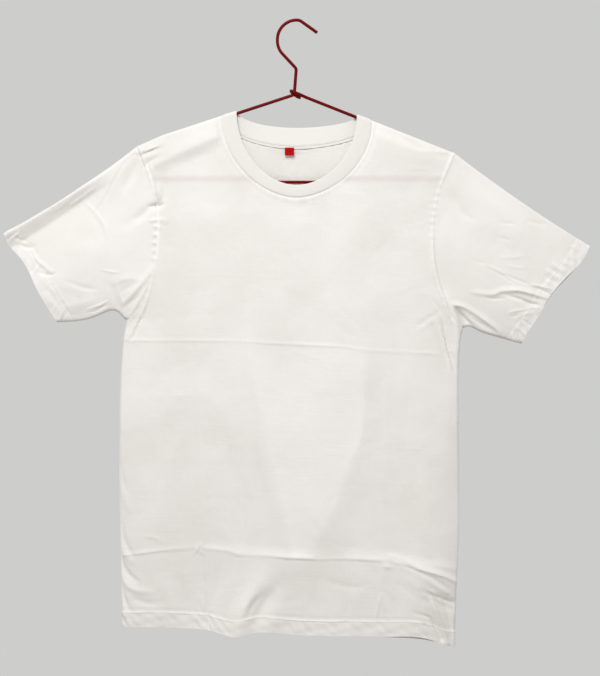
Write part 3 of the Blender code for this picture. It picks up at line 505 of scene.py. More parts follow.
sleeveCreases = (
    # right sleeve, front
    (3.2, 2.6, 0.6, ((-323, -258), (-315, -255, 0.9), (-301, -246, 1.3), (-289, -237, 1), (-281, -232))),
    (3, 3, 0.7, ((-354, -270), (-338, -264, 0.7), (-323, -254, 0.7), (-312, -246))),
    (6, 5, 1.2, ((-392, -311), (-385, -314, -2.2), (-378, -316, -3), (-372, -315, -1.4), (-364, -312))),
    (4, 4, 1.0, ((-398, -300), (-391, -304, -1.8), (-384, -306, -1.2), (-378, -306))),
    (3.4, 3.0, 0.9, ((-303, -247), (-294, -256, 0.9), (-285, -265, 1.2), (-275, -277, 1.2),
        (-268, -290, 1.0), (-266, -310, 0.8), (-266, -328, 0.6), (-267, -342))),
    (4, 4, 1.0, ((-289, -272), (-281, -281, -0.6), (-274, -293, -0.6), (-272, -309))),
    (7, 3, 0.8, ((-233, -189), (-242, -200, -0.8), (-250, -213, -1.2), (-258, -228, -1.3),
        (-269, -247, -1.2), (-280, -262, -0.7), (-287, -271))),
    (5, 20, 1.6, ((-231, -190), (-241, -203, 0.9), (-250, -217, 1.2), (-259, -234, 1.2),
        (-271, -252, 0.9), (-282, -267))),
    (10, 9, 3.0, ((-222, -191), (-229, -208, -1.8), (-238, -226, -2), (-245, -244))),
    (9, 8, 2.5, ((-198, -254, -0.6), (-208, -262, -2.6), (-218, -272, -2.2), (-231, -279))),
    (12, 12, 4.0, ((-214, -262), (-224, -274, -1.2), (-238, -284, -1), (-252, -286))),
    (2.6, 2.6, 0.6, ((-274, -347), (-267, -349, 0.8), (-257, -351, 0.9), (-245, -351))),
    (9, 6, 2.0, ((-262, -368), (-254, -366, 0.8), (-245, -362, 1.2), (-232, -360, 1.2),
        (-222, -362, 0.6), (-216, -366))),
    (4, 4, 1.0, ((-256, -360), (-258, -369, -0.4), (-257, -382, -0.7), (-253, -394, -0.5), (-250, -401))),
    (4, 4, 1.2, ((-252, -365), (-250, -376, 0.9), (-246, -388, 1.1), (-242, -401))),
    (3, 3, 1.0, ((-263, -372), (-263, -381, 0.6), (-261, -391, 0.6), (-259, -400))),
    (9, 6, 2.0, ((-246, -399), (-238, -390, 2.2), (-226, -377, 3.0), (-214, -363, 2.6),
        (-205, -351, 1.4), (-200, -338))),
    (4, 4.5, 1.2, ((-243, -402), (-235, -395, -0.8), (-225, -388, -0.9), (-217, -381))),
    (4, 4, 1.2, ((-252, -382), (-243, -376, -0.5), (-233, -371, -0.6), (-224, -368, -0.4), (-215, -360))),
    (5, 5, 1.4, ((-238, -417), (-231, -408, 1.2), (-219, -388, 1.5), (-210, -370, 1.0), (-206, -358))),
    (2.8, 2.8, 0.6, ((-298, -405), (-286, -401, 0.9), (-275, -397, 1.3), (-268, -393, 0.8),
        (-262, -391))),
    (2.6, 2.6, 0.6, ((-294, -408), (-282, -406, -0.8), (-271, -400, -1), (-263, -397))),
    (6, 5, 1.6, ((-330, -360), (-312, -368, -0.9), (-292, -374, -0.9), (-276, -374))),
    (2.8, 2.8, 0.7, ((-359, -354), (-354, -355, -0.8), (-343, -355, -0.9), (-334, -351))),
    (12, 12, 4.0, ((-330, -398), (-312, -398, 1.1), (-290, -392, 1), (-272, -386))),
    (20, 22, 8.0, ((-370, -330), (-330, -325, 0.8), (-290, -322, 0.6), (-250, -330))),
    # right cuff
    (5, 4, 1.2, ((-372, -326), (-362, -336, 1.7), (-350, -346, 1.6), (-340, -352))),
    (3.4, 3.4, 0.9, ((-366, -350), (-358, -352, -1.3), (-348, -354, -1), (-340, -356))),
    (3.4, 3.4, 0.9, ((-345, -360), (-338, -372, 0.6), (-330, -386, 0.8), (-322, -398, 0.5),
        (-316, -408))),
    (4.5, 4.5, 1.4, ((-352, -372), (-345, -380, -0.6), (-338, -392, -0.5), (-332, -404))),
    (3, 3, 0.8, ((-378, -323), (-372, -331, 0.9), (-365, -345, 0.9), (-359, -358))),
    # left sleeve, front
    (7.5, 4.2, 1.1, ((240, -380), (250, -380, 1.3), (264, -382, 1.8), (276, -382, 2.2),
        (286, -378, 3.0), (299, -377, 3.8), (311, -377, 4.2), (324, -380, 4.0), (338, -384, 3.2),
        (349, -387, 1.6), (356, -389))),
    (3, 3, 0.7, ((262, -385), (271, -388, -1.1), (283, -388, -1.4), (294, -387))),
    (3.6, 4.6, 0.9, ((290, -382), (301, -385, -1.9), (314, -389, -2.9), (325, -394, -4.2),
        (334, -396, -3), (342, -398))),
    (3.4, 3, 0.7, ((322, -366), (331, -369, 1.1), (342, -371, 1.6), (353, -374, 1.2), (360, -377))),
    (2.6, 2.8, 0.6, ((329, -372), (341, -375, -1.7), (350, -379, -2.1), (357, -384, -1.2), (362, -386))),
    (3.4, 3, 0.7, ((293, -410), (303, -406, 1), (315, -404, 1.2), (328, -401, 0.8), (336, -400))),
    (2.6, 2.6, 0.6, ((297, -414), (306, -412, -0.9), (314, -411))),
    (5, 5, 1.2, ((308, -418), (314, -412, 0.9), (324, -408, 1.2), (331, -410))),
    (7, 4.4, 1.2, ((215, -394), (223, -397, 3.2), (234, -400, 3.2), (250, -409, 2.6), (266, -420, 2.6),
        (280, -431, 1.5), (288, -438))),
    (5, 8, 1.2, ((221, -399), (226, -406, -5), (233, -414, -7), (239, -421, -4.5), (246, -428))),
    (3, 3, 0.7, ((236, -412), (245, -419, 1), (257, -426, 0.9), (266, -432))),
    (6, 6, 2.2, ((244, -416), (257, -424, -1.6), (270, -430, -1.4), (284, -438))),
    (3.4, 3.4, 0.9, ((280, -280), (289, -282, -0.6), (300, -283, -0.8), (310, -284))),
    (3.4, 3.4, 0.9, ((318, -278), (327, -280, -0.7), (340, -283, -0.9), (352, -284))),
    (3, 3, 0.9, ((278, -301), (286, -303, -0.6), (296, -306, -0.7), (302, -307))),
    (10, 10, 3.0, ((284, -318), (300, -320, -0.6), (320, -321))),
    (2.6, 2.6, 0.8, ((280, -331), (292, -331, 0.6), (308, -330, 0.6), (326, -327))),
    (2.6, 2.6, 0.8, ((288, -340), (299, -343, 0.5), (314, -345, 0.6), (332, -344))),
    (3, 3, 0.9, ((248, -334), (256, -337, -0.6), (266, -339))),
    (3, 2.6, 0.7, ((262, -340), (271, -344, 0.8), (286, -351, 1), (294, -354, 0.5), (300, -357))),
    (3, 3, 0.7, ((286, -350), (296, -356, -0.8), (312, -363, -1.1), (324, -367, -0.7), (332, -370))),
    (2.8, 2.8, 0.7, ((272, -345), (285, -354, -0.6), (297, -362, -0.6), (307, -366))),
    (14, 14, 4.0, ((212, -232), (222, -250, -1.8), (234, -266, -1.6), (250, -282))),
    (5, 5, 1.6, ((226, -260), (234, -270, -0.7), (243, -275, -0.7), (251, -279))),
    (18, 18, 7.0, ((240, -214), (262, -244, 1), (290, -268, 0.8), (320, -290))),
    (20, 20, 7.0, ((250, -300), (280, -312, -0.7), (320, -318))),
    # left cuff: short beads at the stitches, then the pull at its low end
    (4, 4, 1.6, ((384, -313), (388, -316, 1), (392, -320, 0.9), (397, -323))),
    (4, 4, 1.6, ((377, -324), (381, -328, 1.1), (387, -332, 0.9), (391, -335))),
    (4, 4, 1.6, ((370, -332), (374, -337, 1.3), (380, -341, 1.1), (385, -345))),
    (4.4, 4, 1.6, ((357, -338), (363, -343, 1.6), (370, -348, 1.4), (377, -352))),
    (3.4, 3.4, 1.2, ((353, -343), (359, -348, -1.3), (366, -354, -1.2), (371, -358))),
    (4.4, 4, 1.6, ((349, -346), (355, -352, 1.8), (362, -358, 1.5), (367, -363))),
    (3.4, 3.4, 1.0, ((345, -353), (350, -358, -1.3), (357, -363, -1.2), (363, -368))),
    (3, 3, 0.8, ((312, -415), (318, -419, -1.1), (324, -424, -1.1), (330, -430))),
    (3.6, 3.6, 1.1, ((304, -426), (311, -430, 1.1), (318, -437, 1.1), (324, -443))),
)

backCreases = (
    # the same two packing folds, seen from behind, with the creases up and down between them
    (5, 7, 0.9, ((-238, -451), (-220, -451, 0.6), (-150, -448, 0.45), (-80, -450, 0.3),
        (-20, -452, 0.55), (60, -455, 0.4), (130, -460, 0.5), (196, -464, 0.4), (214, -465))),
    (5, 10, 0.9, ((-244, -752), (-225, -750, 0.9), (-160, -745, 0.8), (-90, -746, 0.5),
        (-30, -750, 1.0), (40, -753, 1.2), (100, -758, 0.7), (150, -763, 1.0), (200, -775, 1.1),
        (222, -780))),
    (4, 4, 0.9, ((-60, -764), (-30, -768, 0.5), (10, -770, 0.4), (40, -769))),
    (8, 8, 1.4, ((-130, -300), (-129, -400, 0.2), (-126, -560, 0.3), (-124, -700, 0.3),
        (-120, -800, 0.5), (-118, -848, 0.2))),
    (8, 8, 1.4, ((122, -320), (121, -450, 0.3), (118, -620, 0.3), (116, -760, 0.4), (114, -850, 0.2))),
    (7, 7, 1.2, ((-220, -600), (-170, -602, 0.18), (-90, -600, 0.1), (-40, -600))),
    (7, 7, 1.2, ((30, -610), (90, -613, 0.18), (190, -617, 0.14), (215, -618))),
    # soft falls from the shoulders to the hem
    (26, 30, 9, ((-150, -200), (-120, -270, 1.4), (-96, -360, 1.5), (-84, -460, 0.9), (-80, -540))),
    (24, 28, 9, ((140, -205), (116, -280, 1.3), (98, -370, 1.4), (92, -470, 0.8), (90, -560))),
    (18, 20, 7, ((-30, -190), (-34, -260, 0.9), (-30, -340, 0.8), (-32, -420))),
    (16, 18, 7, ((36, -190), (34, -250, 0.8), (38, -330, 0.7), (36, -400))),
    (24, 26, 9, ((-190, -420), (-184, -520, 1.2), (-176, -640, 1.4), (-160, -780, 1.5),
        (-150, -850, 1.6))),
    (22, 26, 8, ((70, -560), (62, -660, 1.2), (52, -780, 1.8), (44, -860, 2.2))),
    (20, 22, 8, ((-10, -600), (-26, -700, -1.0), (-40, -800, -1.8), (-48, -856, -2.0))),
    (20, 22, 8, ((180, -520), (176, -640, 1.1), (166, -760, 1.3), (160, -866, 1.6))),
    (12, 14, 4, ((186, -330), (194, -380, 1.2), (206, -420, 1.8), (216, -460, 1.0), (220, -500))),
    (12, 14, 4, ((-182, -320), (-196, -372, 1.1), (-212, -412, 1.7), (-228, -450, 1.0), (-236, -500))),
    (5, 4, 1.2, ((-232, -440), (-218, -450, -1.2), (-196, -462, -0.9), (-176, -466))),
    (4, 5, 1.2, ((176, -436), (192, -444, -1.0), (208, -458, -1.3), (216, -470))),
    (7, 7, 2, ((-247, -780, 0.5), (-236, -796, 1.1), (-216, -806, 0.8), (-200, -806))),
    (6, 8, 2, ((226, -700, -0.5), (218, -722, -1.0), (206, -736, -0.6), (196, -742))),
    (9, 14, 3.5, ((-188, -220, 0.2), (-150, -222, 0.8), (-80, -222, 0.7), (-20, -221, 0.2))),
    (9, 14, 3.5, ((10, -221, 0.2), (90, -223, 0.7), (150, -223, 0.9), (195, -221, 0.4))),
)

backSleeveCreases = (
    (12, 12, 4, ((-240, -230), (-264, -262, 1.3), (-292, -296, 1.5), (-322, -326, 1.0), (-345, -346))),
    (9, 9, 3, ((-230, -290), (-256, -318, -1.2), (-286, -346, -1.4), (-318, -372, -0.8), (-336, -384))),
    (5, 4, 1.2, ((-236, -398), (-252, -386, 1.3), (-276, -374, 1.3), (-300, -370, 0.6), (-318, -370))),
    (4, 5, 1.2, ((-226, -380), (-240, -366, -1.1), (-258, -352, -0.9), (-276, -344))),
    (10, 8, 3, ((-392, -316), (-374, -322, 1.0), (-356, -334, 0.9), (-340, -348))),
    (12, 12, 4, ((240, -240), (262, -276, 1.3), (290, -312, 1.4), (318, -344, 0.9), (336, -364))),
    (9, 9, 3, ((226, -300), (250, -330, -1.2), (276, -360, -1.3), (300, -388, -0.8), (312, -404))),
    (5, 4, 1.2, ((236, -412), (252, -402, 1.2), (272, -394, 1.3), (296, -392, 0.6), (312, -394))),
    (4, 4, 1.2, ((372, -318), (362, -332, 0.9), (350, -346, 0.9), (340, -356))),
)

slowWaves = (  # broad unevenness of cloth that hangs free: wavelength across, down, where it starts, height
    (170, 900, 0.3, 0.55), (-230, 520, 1.7, 0.5), (97, -430, 4.1, 0.28), (61, 300, 2.2, 0.14),
    (-74, 210, 5.0, 0.12), (38, -160, 0.9, 0.05),
)


def smoothLine(points, steps=6):
    # a rounded line through the points, each with its height
    p = np.array([(*point, 0)[:3] for point in points], float)
    p = np.vstack([2 * p[0] - p[1], p, 2 * p[-1] - p[-2]])
    line = []
    for a, b, c, d in zip(p, p[1:], p[2:], p[3:]):
        for t in np.arange(steps) / steps:
            line.append(0.5 * (2 * b + (c - a) * t + (2 * a - 5 * b + 4 * c - d) * t**2
                               + (3 * b - a - 3 * c + d) * t**3))
    line.append(p[-2])
    return np.array(line)


def beside(x, z, line):
    # signed distance from a line, positive on the left of its run, and the place along it in points
    nearest, signed, along = np.full(x.shape, 1e9), np.zeros(x.shape), np.zeros(x.shape)
    for i in range(len(line) - 1):
        ax, az = line[i][:2]
        dx, dz = line[i + 1][0] - ax, line[i + 1][1] - az
        if dx == 0 and dz == 0:
            continue
        t = np.clip(((x - ax) * dx + (z - az) * dz) / (dx * dx + dz * dz), 0, 1)
        offX, offZ = x - ax - t * dx, z - az - t * dz
        far = np.hypot(offX, offZ)
        closer = far < nearest
        signed = np.where(closer, np.where(dx * offZ - dz * offX < 0, -far, far), signed)
        along = np.where(closer, i + t, along)
        nearest = np.where(closer, far, nearest)
    return signed, along


def creaseHeight(x, z, creases):
    total = np.zeros(x.shape)
    for left, right, soft, points in creases:
        line = smoothLine(points)
        reach = max(left, right) + soft
        low, high = line[:, :2].min(0) - reach, line[:, :2].max(0) + reach
        near = (x > low[0]) & (x < high[0]) & (z > low[1]) & (z < high[1])
        if near.any():
            far, along = beside(x[near], z[near], line)
            width = np.where(far > 0, left, right)
            shape = np.clip(1 - (np.hypot(far, soft) - soft) / width, 0, None) ** 2
            total[near] += np.interp(along, np.arange(len(line)), line[:, 2]) * shape
    return total


def slowHeight(x, z, front):
    shift = 0.0 if front else 2.4
    return sum(
        height * np.sin(2 * math.pi * (x / across + z / down) + start + shift)
        for across, down, start, height in slowWaves
    )


def unevenness(along, start):
    # runs between about 0 and 1 along a seam, so that its puckers come and go
    return 0.5 + 0.28 * np.sin(along / 23 + start) + 0.22 * np.sin(along / 9.7 + 2.1 * start)


seams = {
    "neckRidge": 3.4,  # the allowance under the topstitch lies this far outside the neck seam
    "neckStitch": 4.6,
    "hemStitch": (19.2, 22.2),  # two needles, measured up from the edge
    "cuffStitch": (17.5, 20.5),
    "hemFold": (22, 24),  # the turned-up layer ends here
    "cuffFold": (20, 22),
    "cuffShow": (19, 22),  # and stops looking whiter here
    "neckRun": {True: 1.38, False: 1.1},  # length of a seam line for each of its points, in front and behind
    "armholeRun": 2.75,
    "cuffRun": 2.6,
    "hemTop": -815,  # the hem is looked for below this height
    "pucker": 10.5,  # from one pucker of an armhole to the next
}
# where a seam is looked for: from this far out to this far out, and down to this height
seamZones = {"neck": (-1, 125, -250), "armhole": (172, 252, -445), "cuff": (290, 500, -470)}


def inZone(name, out, z):
    inner, outer, low = seamZones[name]
    return (out > inner) & (out < outer) & (z > low)


def neckLow(x):
    # 1 where the front's neck seam lies deepest, at its low end
    return smoothStep(-104, -84, x) * (1 - smoothStep(20, 66, x))


neckAngles = np.linspace(0, math.pi, 241)
neckLines = {front: np.stack(neckCurve(neckSeam, front, neckAngles), -1) for front in (True, False)}
armholeLines = {
    (side, front): np.stack(armhole(side, np.linspace(0, 1, 90), 1.0 if front else body["backScoop"]), -1)
    for side in sides for front in (True, False)
}
cuffLines = {side: np.stack(sleeveCuff(side, np.linspace(-0.05, 1.05, 60)), -1) for side in sides}
armholeDitch = {  # height, how deep the seam lies there
    -1: smoothTable(((-176, 1.0), (-192, 1.4), (-203, 0.5), (-212, 0), (-238, 0), (-246, 0), (-257, 1.8),
                     (-266, 0), (-276, 0), (-420, 0))),
    1: smoothTable(((-185, -0.3), (-230, 0), (-300, -0.2), (-380, -0.1), (-430, 0.1))),
}
armholeRidge = {  # height, how far the allowance beside the seam stands out
    -1: smoothTable(((-176, 0.3), (-196, 0.6), (-208, 1.5), (-240, 1.5), (-256, 0.2), (-330, 0.25),
                     (-420, 0.4))),
    1: smoothTable(((-185, 0.9), (-215, 0.8), (-235, 0.4), (-300, 0.4), (-350, 0.6), (-430, 0.6))),
}
allowance = {  # height, how much whiter the allowance is made there, for its layers and as a painted highlight on its ridge
    -1: smoothTable(((-176, 0), (-196, 0.1), (-208, 0.9), (-244, 0.9), (-256, 0), (-272, 0.8), (-336, 0.7),
                     (-370, 0.2), (-425, 0.3))),
    1: smoothTable(((-180, 0.9), (-215, 0.9), (-250, 0.6), (-300, 0.5), (-350, 0.7), (-425, 0.7))),
}
puckers = {  # where the armholes pucker: height at which they are strongest, reach, height of a pucker
    -1: ((-380, 40, 0.25),),
    1: ((-258, 34, 0.5), (-292, 20, 0.35), (-400, 30, 0.2)),
}


def bell(far, width):
    # 1 in the middle and nothing a few widths off
    return np.exp(-((far / width) ** 2))


def neckRelief(x, z, front):
    # the seam's ditch, the ridge of its allowance, the row of stitches and the cloth that it draws in
    far, along = beside(x, z, neckLines[front])
    far = np.abs(far)
    place = along * seams["neckRun"][front]
    low = neckLow(x) if front else 0.3
    ridge = (0.6 + 0.5 * low) * bell(far - seams["neckRidge"], 1.5) * (0.85 + 0.3 * unevenness(place, 0.4))
    stitches = -0.7 * bell(far - seams["neckStitch"] - 0.8, 1.0)
    pull = 0.16 * np.sin(2 * math.pi * place / 8.4) * bell(far - 7, 4) * unevenness(place, 1.9)
    return -(0.1 + 0.6 * low) * bell(far, 1.5) + ridge + stitches + pull


def armholeRelief(x, z, side, front):
    # the seam's ditch, the allowance pressed towards the body, and the places where the sleeve is gathered
    far, along = beside(x, z, armholeLines[side, front])
    far = far * -side  # now positive towards the body
    place = along * seams["armholeRun"]
    ridge = armholeRidge[side](z) * bell(far - 2.2, 2.3) * (0.6 + 0.8 * unevenness(place, 2.2))
    gather = np.zeros(x.shape)
    for middle, reach, height in puckers[side]:
        if not front:  # behind they are lower down and softer
            middle, height = middle - 24, height * 0.7
        gather += height * bell(z - middle, reach)
    wave = np.sin(2 * math.pi * place / seams["pucker"] + 0.9 * np.sin(place / 14)) * bell(far - 3, 5)
    return -armholeDitch[side](z) * bell(far, 1.3) + ridge + gather * wave


def edgeRelief(up, place, rows, start, firm=1.0):
    # a hem: two rows of stitches, the turned-up layer and the slant of its puckers
    low, high = rows
    layer = 0.5 * (1 - smoothStep(low - 0.5, high + 1.5, up))
    needles = sum(-0.3 * firm * bell(up - row, 0.75) for row in rows)
    needles = needles - 0.5 * firm * bell(up - high - 2.4, 1.7)
    bead = 0.6 * firm * bell(up - (low + high) / 2, 1.0)
    rope = np.sin(2 * math.pi * (place + 0.75 * up) / 13 + 1.3 * np.sin(place / 31 + start))
    rope += 0.5 * np.sin(2 * math.pi * (place + 0.5 * up) / 7.3 + start)
    window = smoothStep(0, 5, up) * (1 - smoothStep(low - 1, high + 2, up))
    above = 0.12 * np.sin(2 * math.pi * place / 9.5) * bell(up - high - 4, 4)
    lumps = np.sin(place / 5.1 + 1.7 * start) * np.sin(place / 17 + 0.21 * up) * np.sin(up / 6 + place / 41)
    crumple = 0.75 * rope * unevenness(place, start) ** 1.5 + 0.9 * lumps
    return layer + needles + bead + crumple * window + above


def markLayersAndHighlights(mesh, x, z, front):
    # how much whiter the cloth is made over seam allowances and cuffs: partly their extra layers, partly a
    # painted highlight along the seam ridges and on the armholes' puckers
    mark = np.zeros(x.shape)
    for isFront in (True, False):
        for side in sides:
            near = inZone("armhole", x * side, z) & (front == isFront)
            far, along = beside(x[near], z[near], armholeLines[side, isFront])
            bead = 0.75 + 0.25 * np.sin(2 * math.pi * along * seams["armholeRun"] / seams["pucker"] + 0.9)
            mark[near] += allowance[side](z[near]) * bead * bell(far * -side - 1.8, 2.2)
        near = inZone("neck", np.abs(x), z) & (front == isFront)
        far = np.abs(beside(x[near], z[near], neckLines[isFront])[0])
        mark[near] += 0.6 * bell(far - 2.2, 1.1)
    for side in sides:
        near = inZone("cuff", x * side, z)
        up = np.abs(beside(x[near], z[near], cuffLines[side])[0])
        mark[near] += 0.25 * (1 - smoothStep(*seams["cuffShow"], up))
    kept = mesh.attributes.new("layers", "FLOAT", "POINT")
    kept.data.foreach_set("value", np.clip(mark, 0, 1).astype(np.float32))


def seamRelief(x, z, front):
    total = np.zeros(x.shape)
    near = inZone("neck", np.abs(x), z)
    total[near] += neckRelief(x[near], z[near], front)
    for side in sides:
        near = inZone("armhole", x * side, z)
        total[near] += armholeRelief(x[near], z[near], side, front)
        near = inZone("cuff", x * side, z)
        if near.any():
            up, along = beside(x[near], z[near], cuffLines[side])
            run = along * seams["cuffRun"]
            total[near] += edgeRelief(np.abs(up), run, seams["cuffStitch"], 1.1 + side, 0.4)
    near = z < seams["hemTop"]
    up = z[near] - hemHeight[front](x[near])
    total[near] += edgeRelief(up, x[near], seams["hemStitch"], 0.6 if front else 2.9)
    return total


fades = {"fold": (0, 4.5), "neck": (0, 12), "seam": (-1, 2.5)}  # mm: creases and seams die out over these


def onCloth(x, z, front):
    # points of the creased cloth's outer face, and their normals
    x, z = np.asarray(x, float), np.asarray(z, float)
    points, normals, away = clothForm(x, z, front)
    fade = smoothStep(*fades["fold"], away)
    neckFar = np.abs(beside(x, z, neckLines[front][::8])[0])
    fade = fade * smoothStep(*fades["neck"], neckFar)
    creases = (frontCreases + sleeveCreases) if front else (backCreases + backSleeveCreases)
    # the front's creases are laid out as the camera sees them on the hanger's plane
    seen = 1 / (1 + points[..., 1] / studio["distance"]) if front else 1
    middleX, middleZ = studio["middle"]
    relief = creaseHeight(middleX + (x - middleX) * seen, middleZ + (z - middleZ) * seen, creases)
    relief = relief + slowHeight(x, z, front)
    relief = relief * fade + seamRelief(x, z, front) * smoothStep(*fades["seam"], away)
    points = points + normals * relief[..., None]
    points[..., 1] -= rolledTop(x, z, front)
    return points, normals


roll = {  # of the right sleeve's top fold, mm
    "grows": (0.16, 0.5),  # between these shares of the way to the cuff
    "lean": 7.0,
    "width": 27.0,
    "sink": 10.0,
    "end": 110.0,  # so far below the fold the cloth is back in its place
}


def rolledTop(x, z, front):
    # the right sleeve's top fold rolls forward, and its front sinks below it: a shaded strip
    (ax, az), (bx, bz) = sleeves[-1]["shoulder"], sleeves[-1]["cuffTop"]
    size = math.hypot(bx - ax, bz - az)
    runX, runZ = (bx - ax) / size, (bz - az) / size
    along = ((x - ax) * runX + (z - az) * runZ) / size
    below = np.maximum(0, (x - ax) * -runZ + (z - az) * runX)
    there = smoothStep(*roll["grows"], along)
    lean = roll["lean"] * (1 - smoothStep(0, 1, below / roll["width"]))
    rise = np.clip(below / (0.85 * roll["width"]), 0, 1)
    sink = roll["sink"] * rise * (1 - smoothStep(0.9 * roll["width"], roll["end"], below))
    return there * (lean - (sink if front else 0))


def stations(first, last, step, bands=()):
    # places from first to last, a step apart, and closer in bands of (middle, reach, step)
    fine = np.linspace(first, last, 6000)
    density = np.full(fine.size, 1 / step)
    for middle, reach, close in bands:
        share = np.clip(1.6 - np.abs(fine - middle) / reach, 0, 1)
        density = np.maximum(density, share / close + (1 - share) / step)
    total = np.concatenate([[0], np.cumsum((density[1:] + density[:-1]) / 2 * np.diff(fine))])
    return np.interp(np.linspace(0, total[-1], math.ceil(total[-1]) + 1), total, fine)


def flatGrid(x, z):
    # a grid of faces with its corners at x, z, and a map that counts its rows and columns
    rows, columns = x.shape
    bm = bmesh.new()
    uv = bm.loops.layers.uv.new("knit")
    bmesh.ops.create_grid(bm, x_segments=columns - 1, y_segments=rows - 1, size=1, calc_uvs=False)
    for face in bm.faces:
        for loop in face.loops:
            corner = loop.vert.co
            loop[uv].uv = ((corner.x + 1) / 2 * (columns - 1), (1 - corner.y) / 2 * (rows - 1))
    for vertex in bm.verts:
        column = round((vertex.co.x + 1) / 2 * (columns - 1))
        row = round((1 - vertex.co.y) / 2 * (rows - 1))
        vertex.co = (x[row, column], 0, z[row, column])
    return bm


def placeGrid(bm, places):
    # moves the corners of such a grid to the places of their rows and columns
    uv = bm.loops.layers.uv["knit"]
    for face in bm.faces:
        for loop in face.loops:
            spot = loop[uv].uv
            loop.vert.co = places[round(spot.y), round(spot.x)]


def runLengths(points):
    # length along the rows and down the columns of a grid of points, averaged over the grid
    across = np.linalg.norm(np.diff(points, axis=1), axis=-1).mean(0)
    down = np.linalg.norm(np.diff(points, axis=0), axis=-1).mean(1)
    return np.concatenate([[0], np.cumsum(across)]), np.concatenate([[0], np.cumsum(down)])


def knitMap(mesh, acrossRun, downRun):
    # the map now counts centimetres of cloth, with the wales running down it
    layer = mesh.uv_layers["knit"]
    uv = np.empty(len(layer.data) * 2)
    layer.data.foreach_get("uv", uv)
    uv = uv.reshape(-1, 2)
    u = np.interp(uv[:, 0], np.arange(len(acrossRun)), acrossRun) / 10
    v = -np.interp(uv[:, 1], np.arange(len(downRun)), downRun) / 10
    layer.data.foreach_set("uv", np.stack([u, v], -1).ravel())


def meshPlaces(mesh):
    places = np.empty(len(mesh.vertices) * 3)
    mesh.vertices.foreach_get("co", places)
    return places.reshape(-1, 3)


def setPlaces(mesh, places):
    mesh.vertices.foreach_set("co", (np.asarray(places) * mm).ravel())
    mesh.update()


def newObject(name, mesh, finish):
    mesh.materials.append(finish)
    mesh.polygons.foreach_set("use_smooth", [True] * len(mesh.polygons))
    piece = bpy.data.objects.new(name, mesh)
    bpy.context.scene.collection.objects.link(piece)
    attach(piece, "root")
    return piece


def meshFrom(bm, name):
    mesh = bpy.data.meshes.new(name)
    bm.to_mesh(mesh)
    bm.free()
    return mesh


cutEdge = {"round": 0.06, "turn": 55}  # mm and degrees: raw edges sharper than this are rounded


def thicken(piece, wall, offset=-1.0, group=None, thin=1.0):
    solid = piece.modifiers.new("Wall", "SOLIDIFY")
    solid.thickness = wall * mm
    solid.offset = offset
    solid.use_even_offset = True
    solid.use_quality_normals = True
    if group:
        solid.vertex_group = group
        solid.thickness_vertex_group = thin
    rim = piece.modifiers.new("Rim", "BEVEL")
    rim.width = cutEdge["round"] * mm
    rim.segments = 2
    rim.limit_method = "ANGLE"
    rim.angle_limit = math.radians(cutEdge["turn"])
    rim.harden_normals = True
    return piece


def weigh(piece, name, weights):
    group = piece.vertex_groups.new(name=name)
    for level in np.unique(np.round(weights, 2)):
        members = np.nonzero(np.round(weights, 2) == level)[0]
        group.add(members.tolist(), float(level), "REPLACE")


def outerArea(mesh):
    return sum(face.area for face in mesh.polygons)


def linear(hexColour):
    parts = [int(hexColour[i:i + 2], 16) / 255 for i in (1, 3, 5)]
    return (*[p / 12.92 if p <= 0.04045 else ((p + 0.055) / 1.055) ** 2.4 for p in parts], 1)


def addNode(tree, kind, settings={}, links={}):
    # settings go to the sockets or properties of that name or number,
    # and links join sockets to a node's first output or to the output given
    node = tree.nodes.new("ShaderNode" + kind)
    for key, value in settings.items():
        if isinstance(key, str) and hasattr(node, key):
            setattr(node, key, value)
        else:
            node.inputs[key].default_value = value
    for key, source in links.items():
        tree.links.new(source.outputs[0] if hasattr(source, "outputs") else source, node.inputs[key])
    return node


def newFinish(name, settings):
    finish = bpy.data.materials.new(name)
    finish.use_nodes = True
    shader = finish.node_tree.nodes["Principled BSDF"]
    for key, value in settings.items():
        shader.inputs[key].default_value = value
    return finish, finish.node_tree, shader


paintedLightZone = {  # mm: lines down the front from top to foot, and the side of each on which the painted light lies
    "lines": (((-78, -470), (-26, -711), 1), ((106, -440), (102, -600), -1), ((120, -545), (33, -738), -1)),
    "soft": 18, "wander": 26, "top": (-440, -476), "foot": (-768, -738), "most": 0.4, "tint": "#FDFBF8",
}

# painted shade: a faint darker, reddish band painted on the front where the hanger's bar lies behind it
paintedBarShade = {"height": -220.8, "reach": 7.5, "most": 0.6, "behind": 0.35, "tint": "#DDD3CF"}  # mm

knit = {
    "wale": 1.15,  # width of one column of loops, mm; jersey has about 0.75, drawn coarser so that it shows
    "course": 0.95,  # height of one row of loops
    "light": "#F4F1ED",
    "shade": "#EBE7E2",
    "depth": 0.00016,  # height of a loop, metres
}


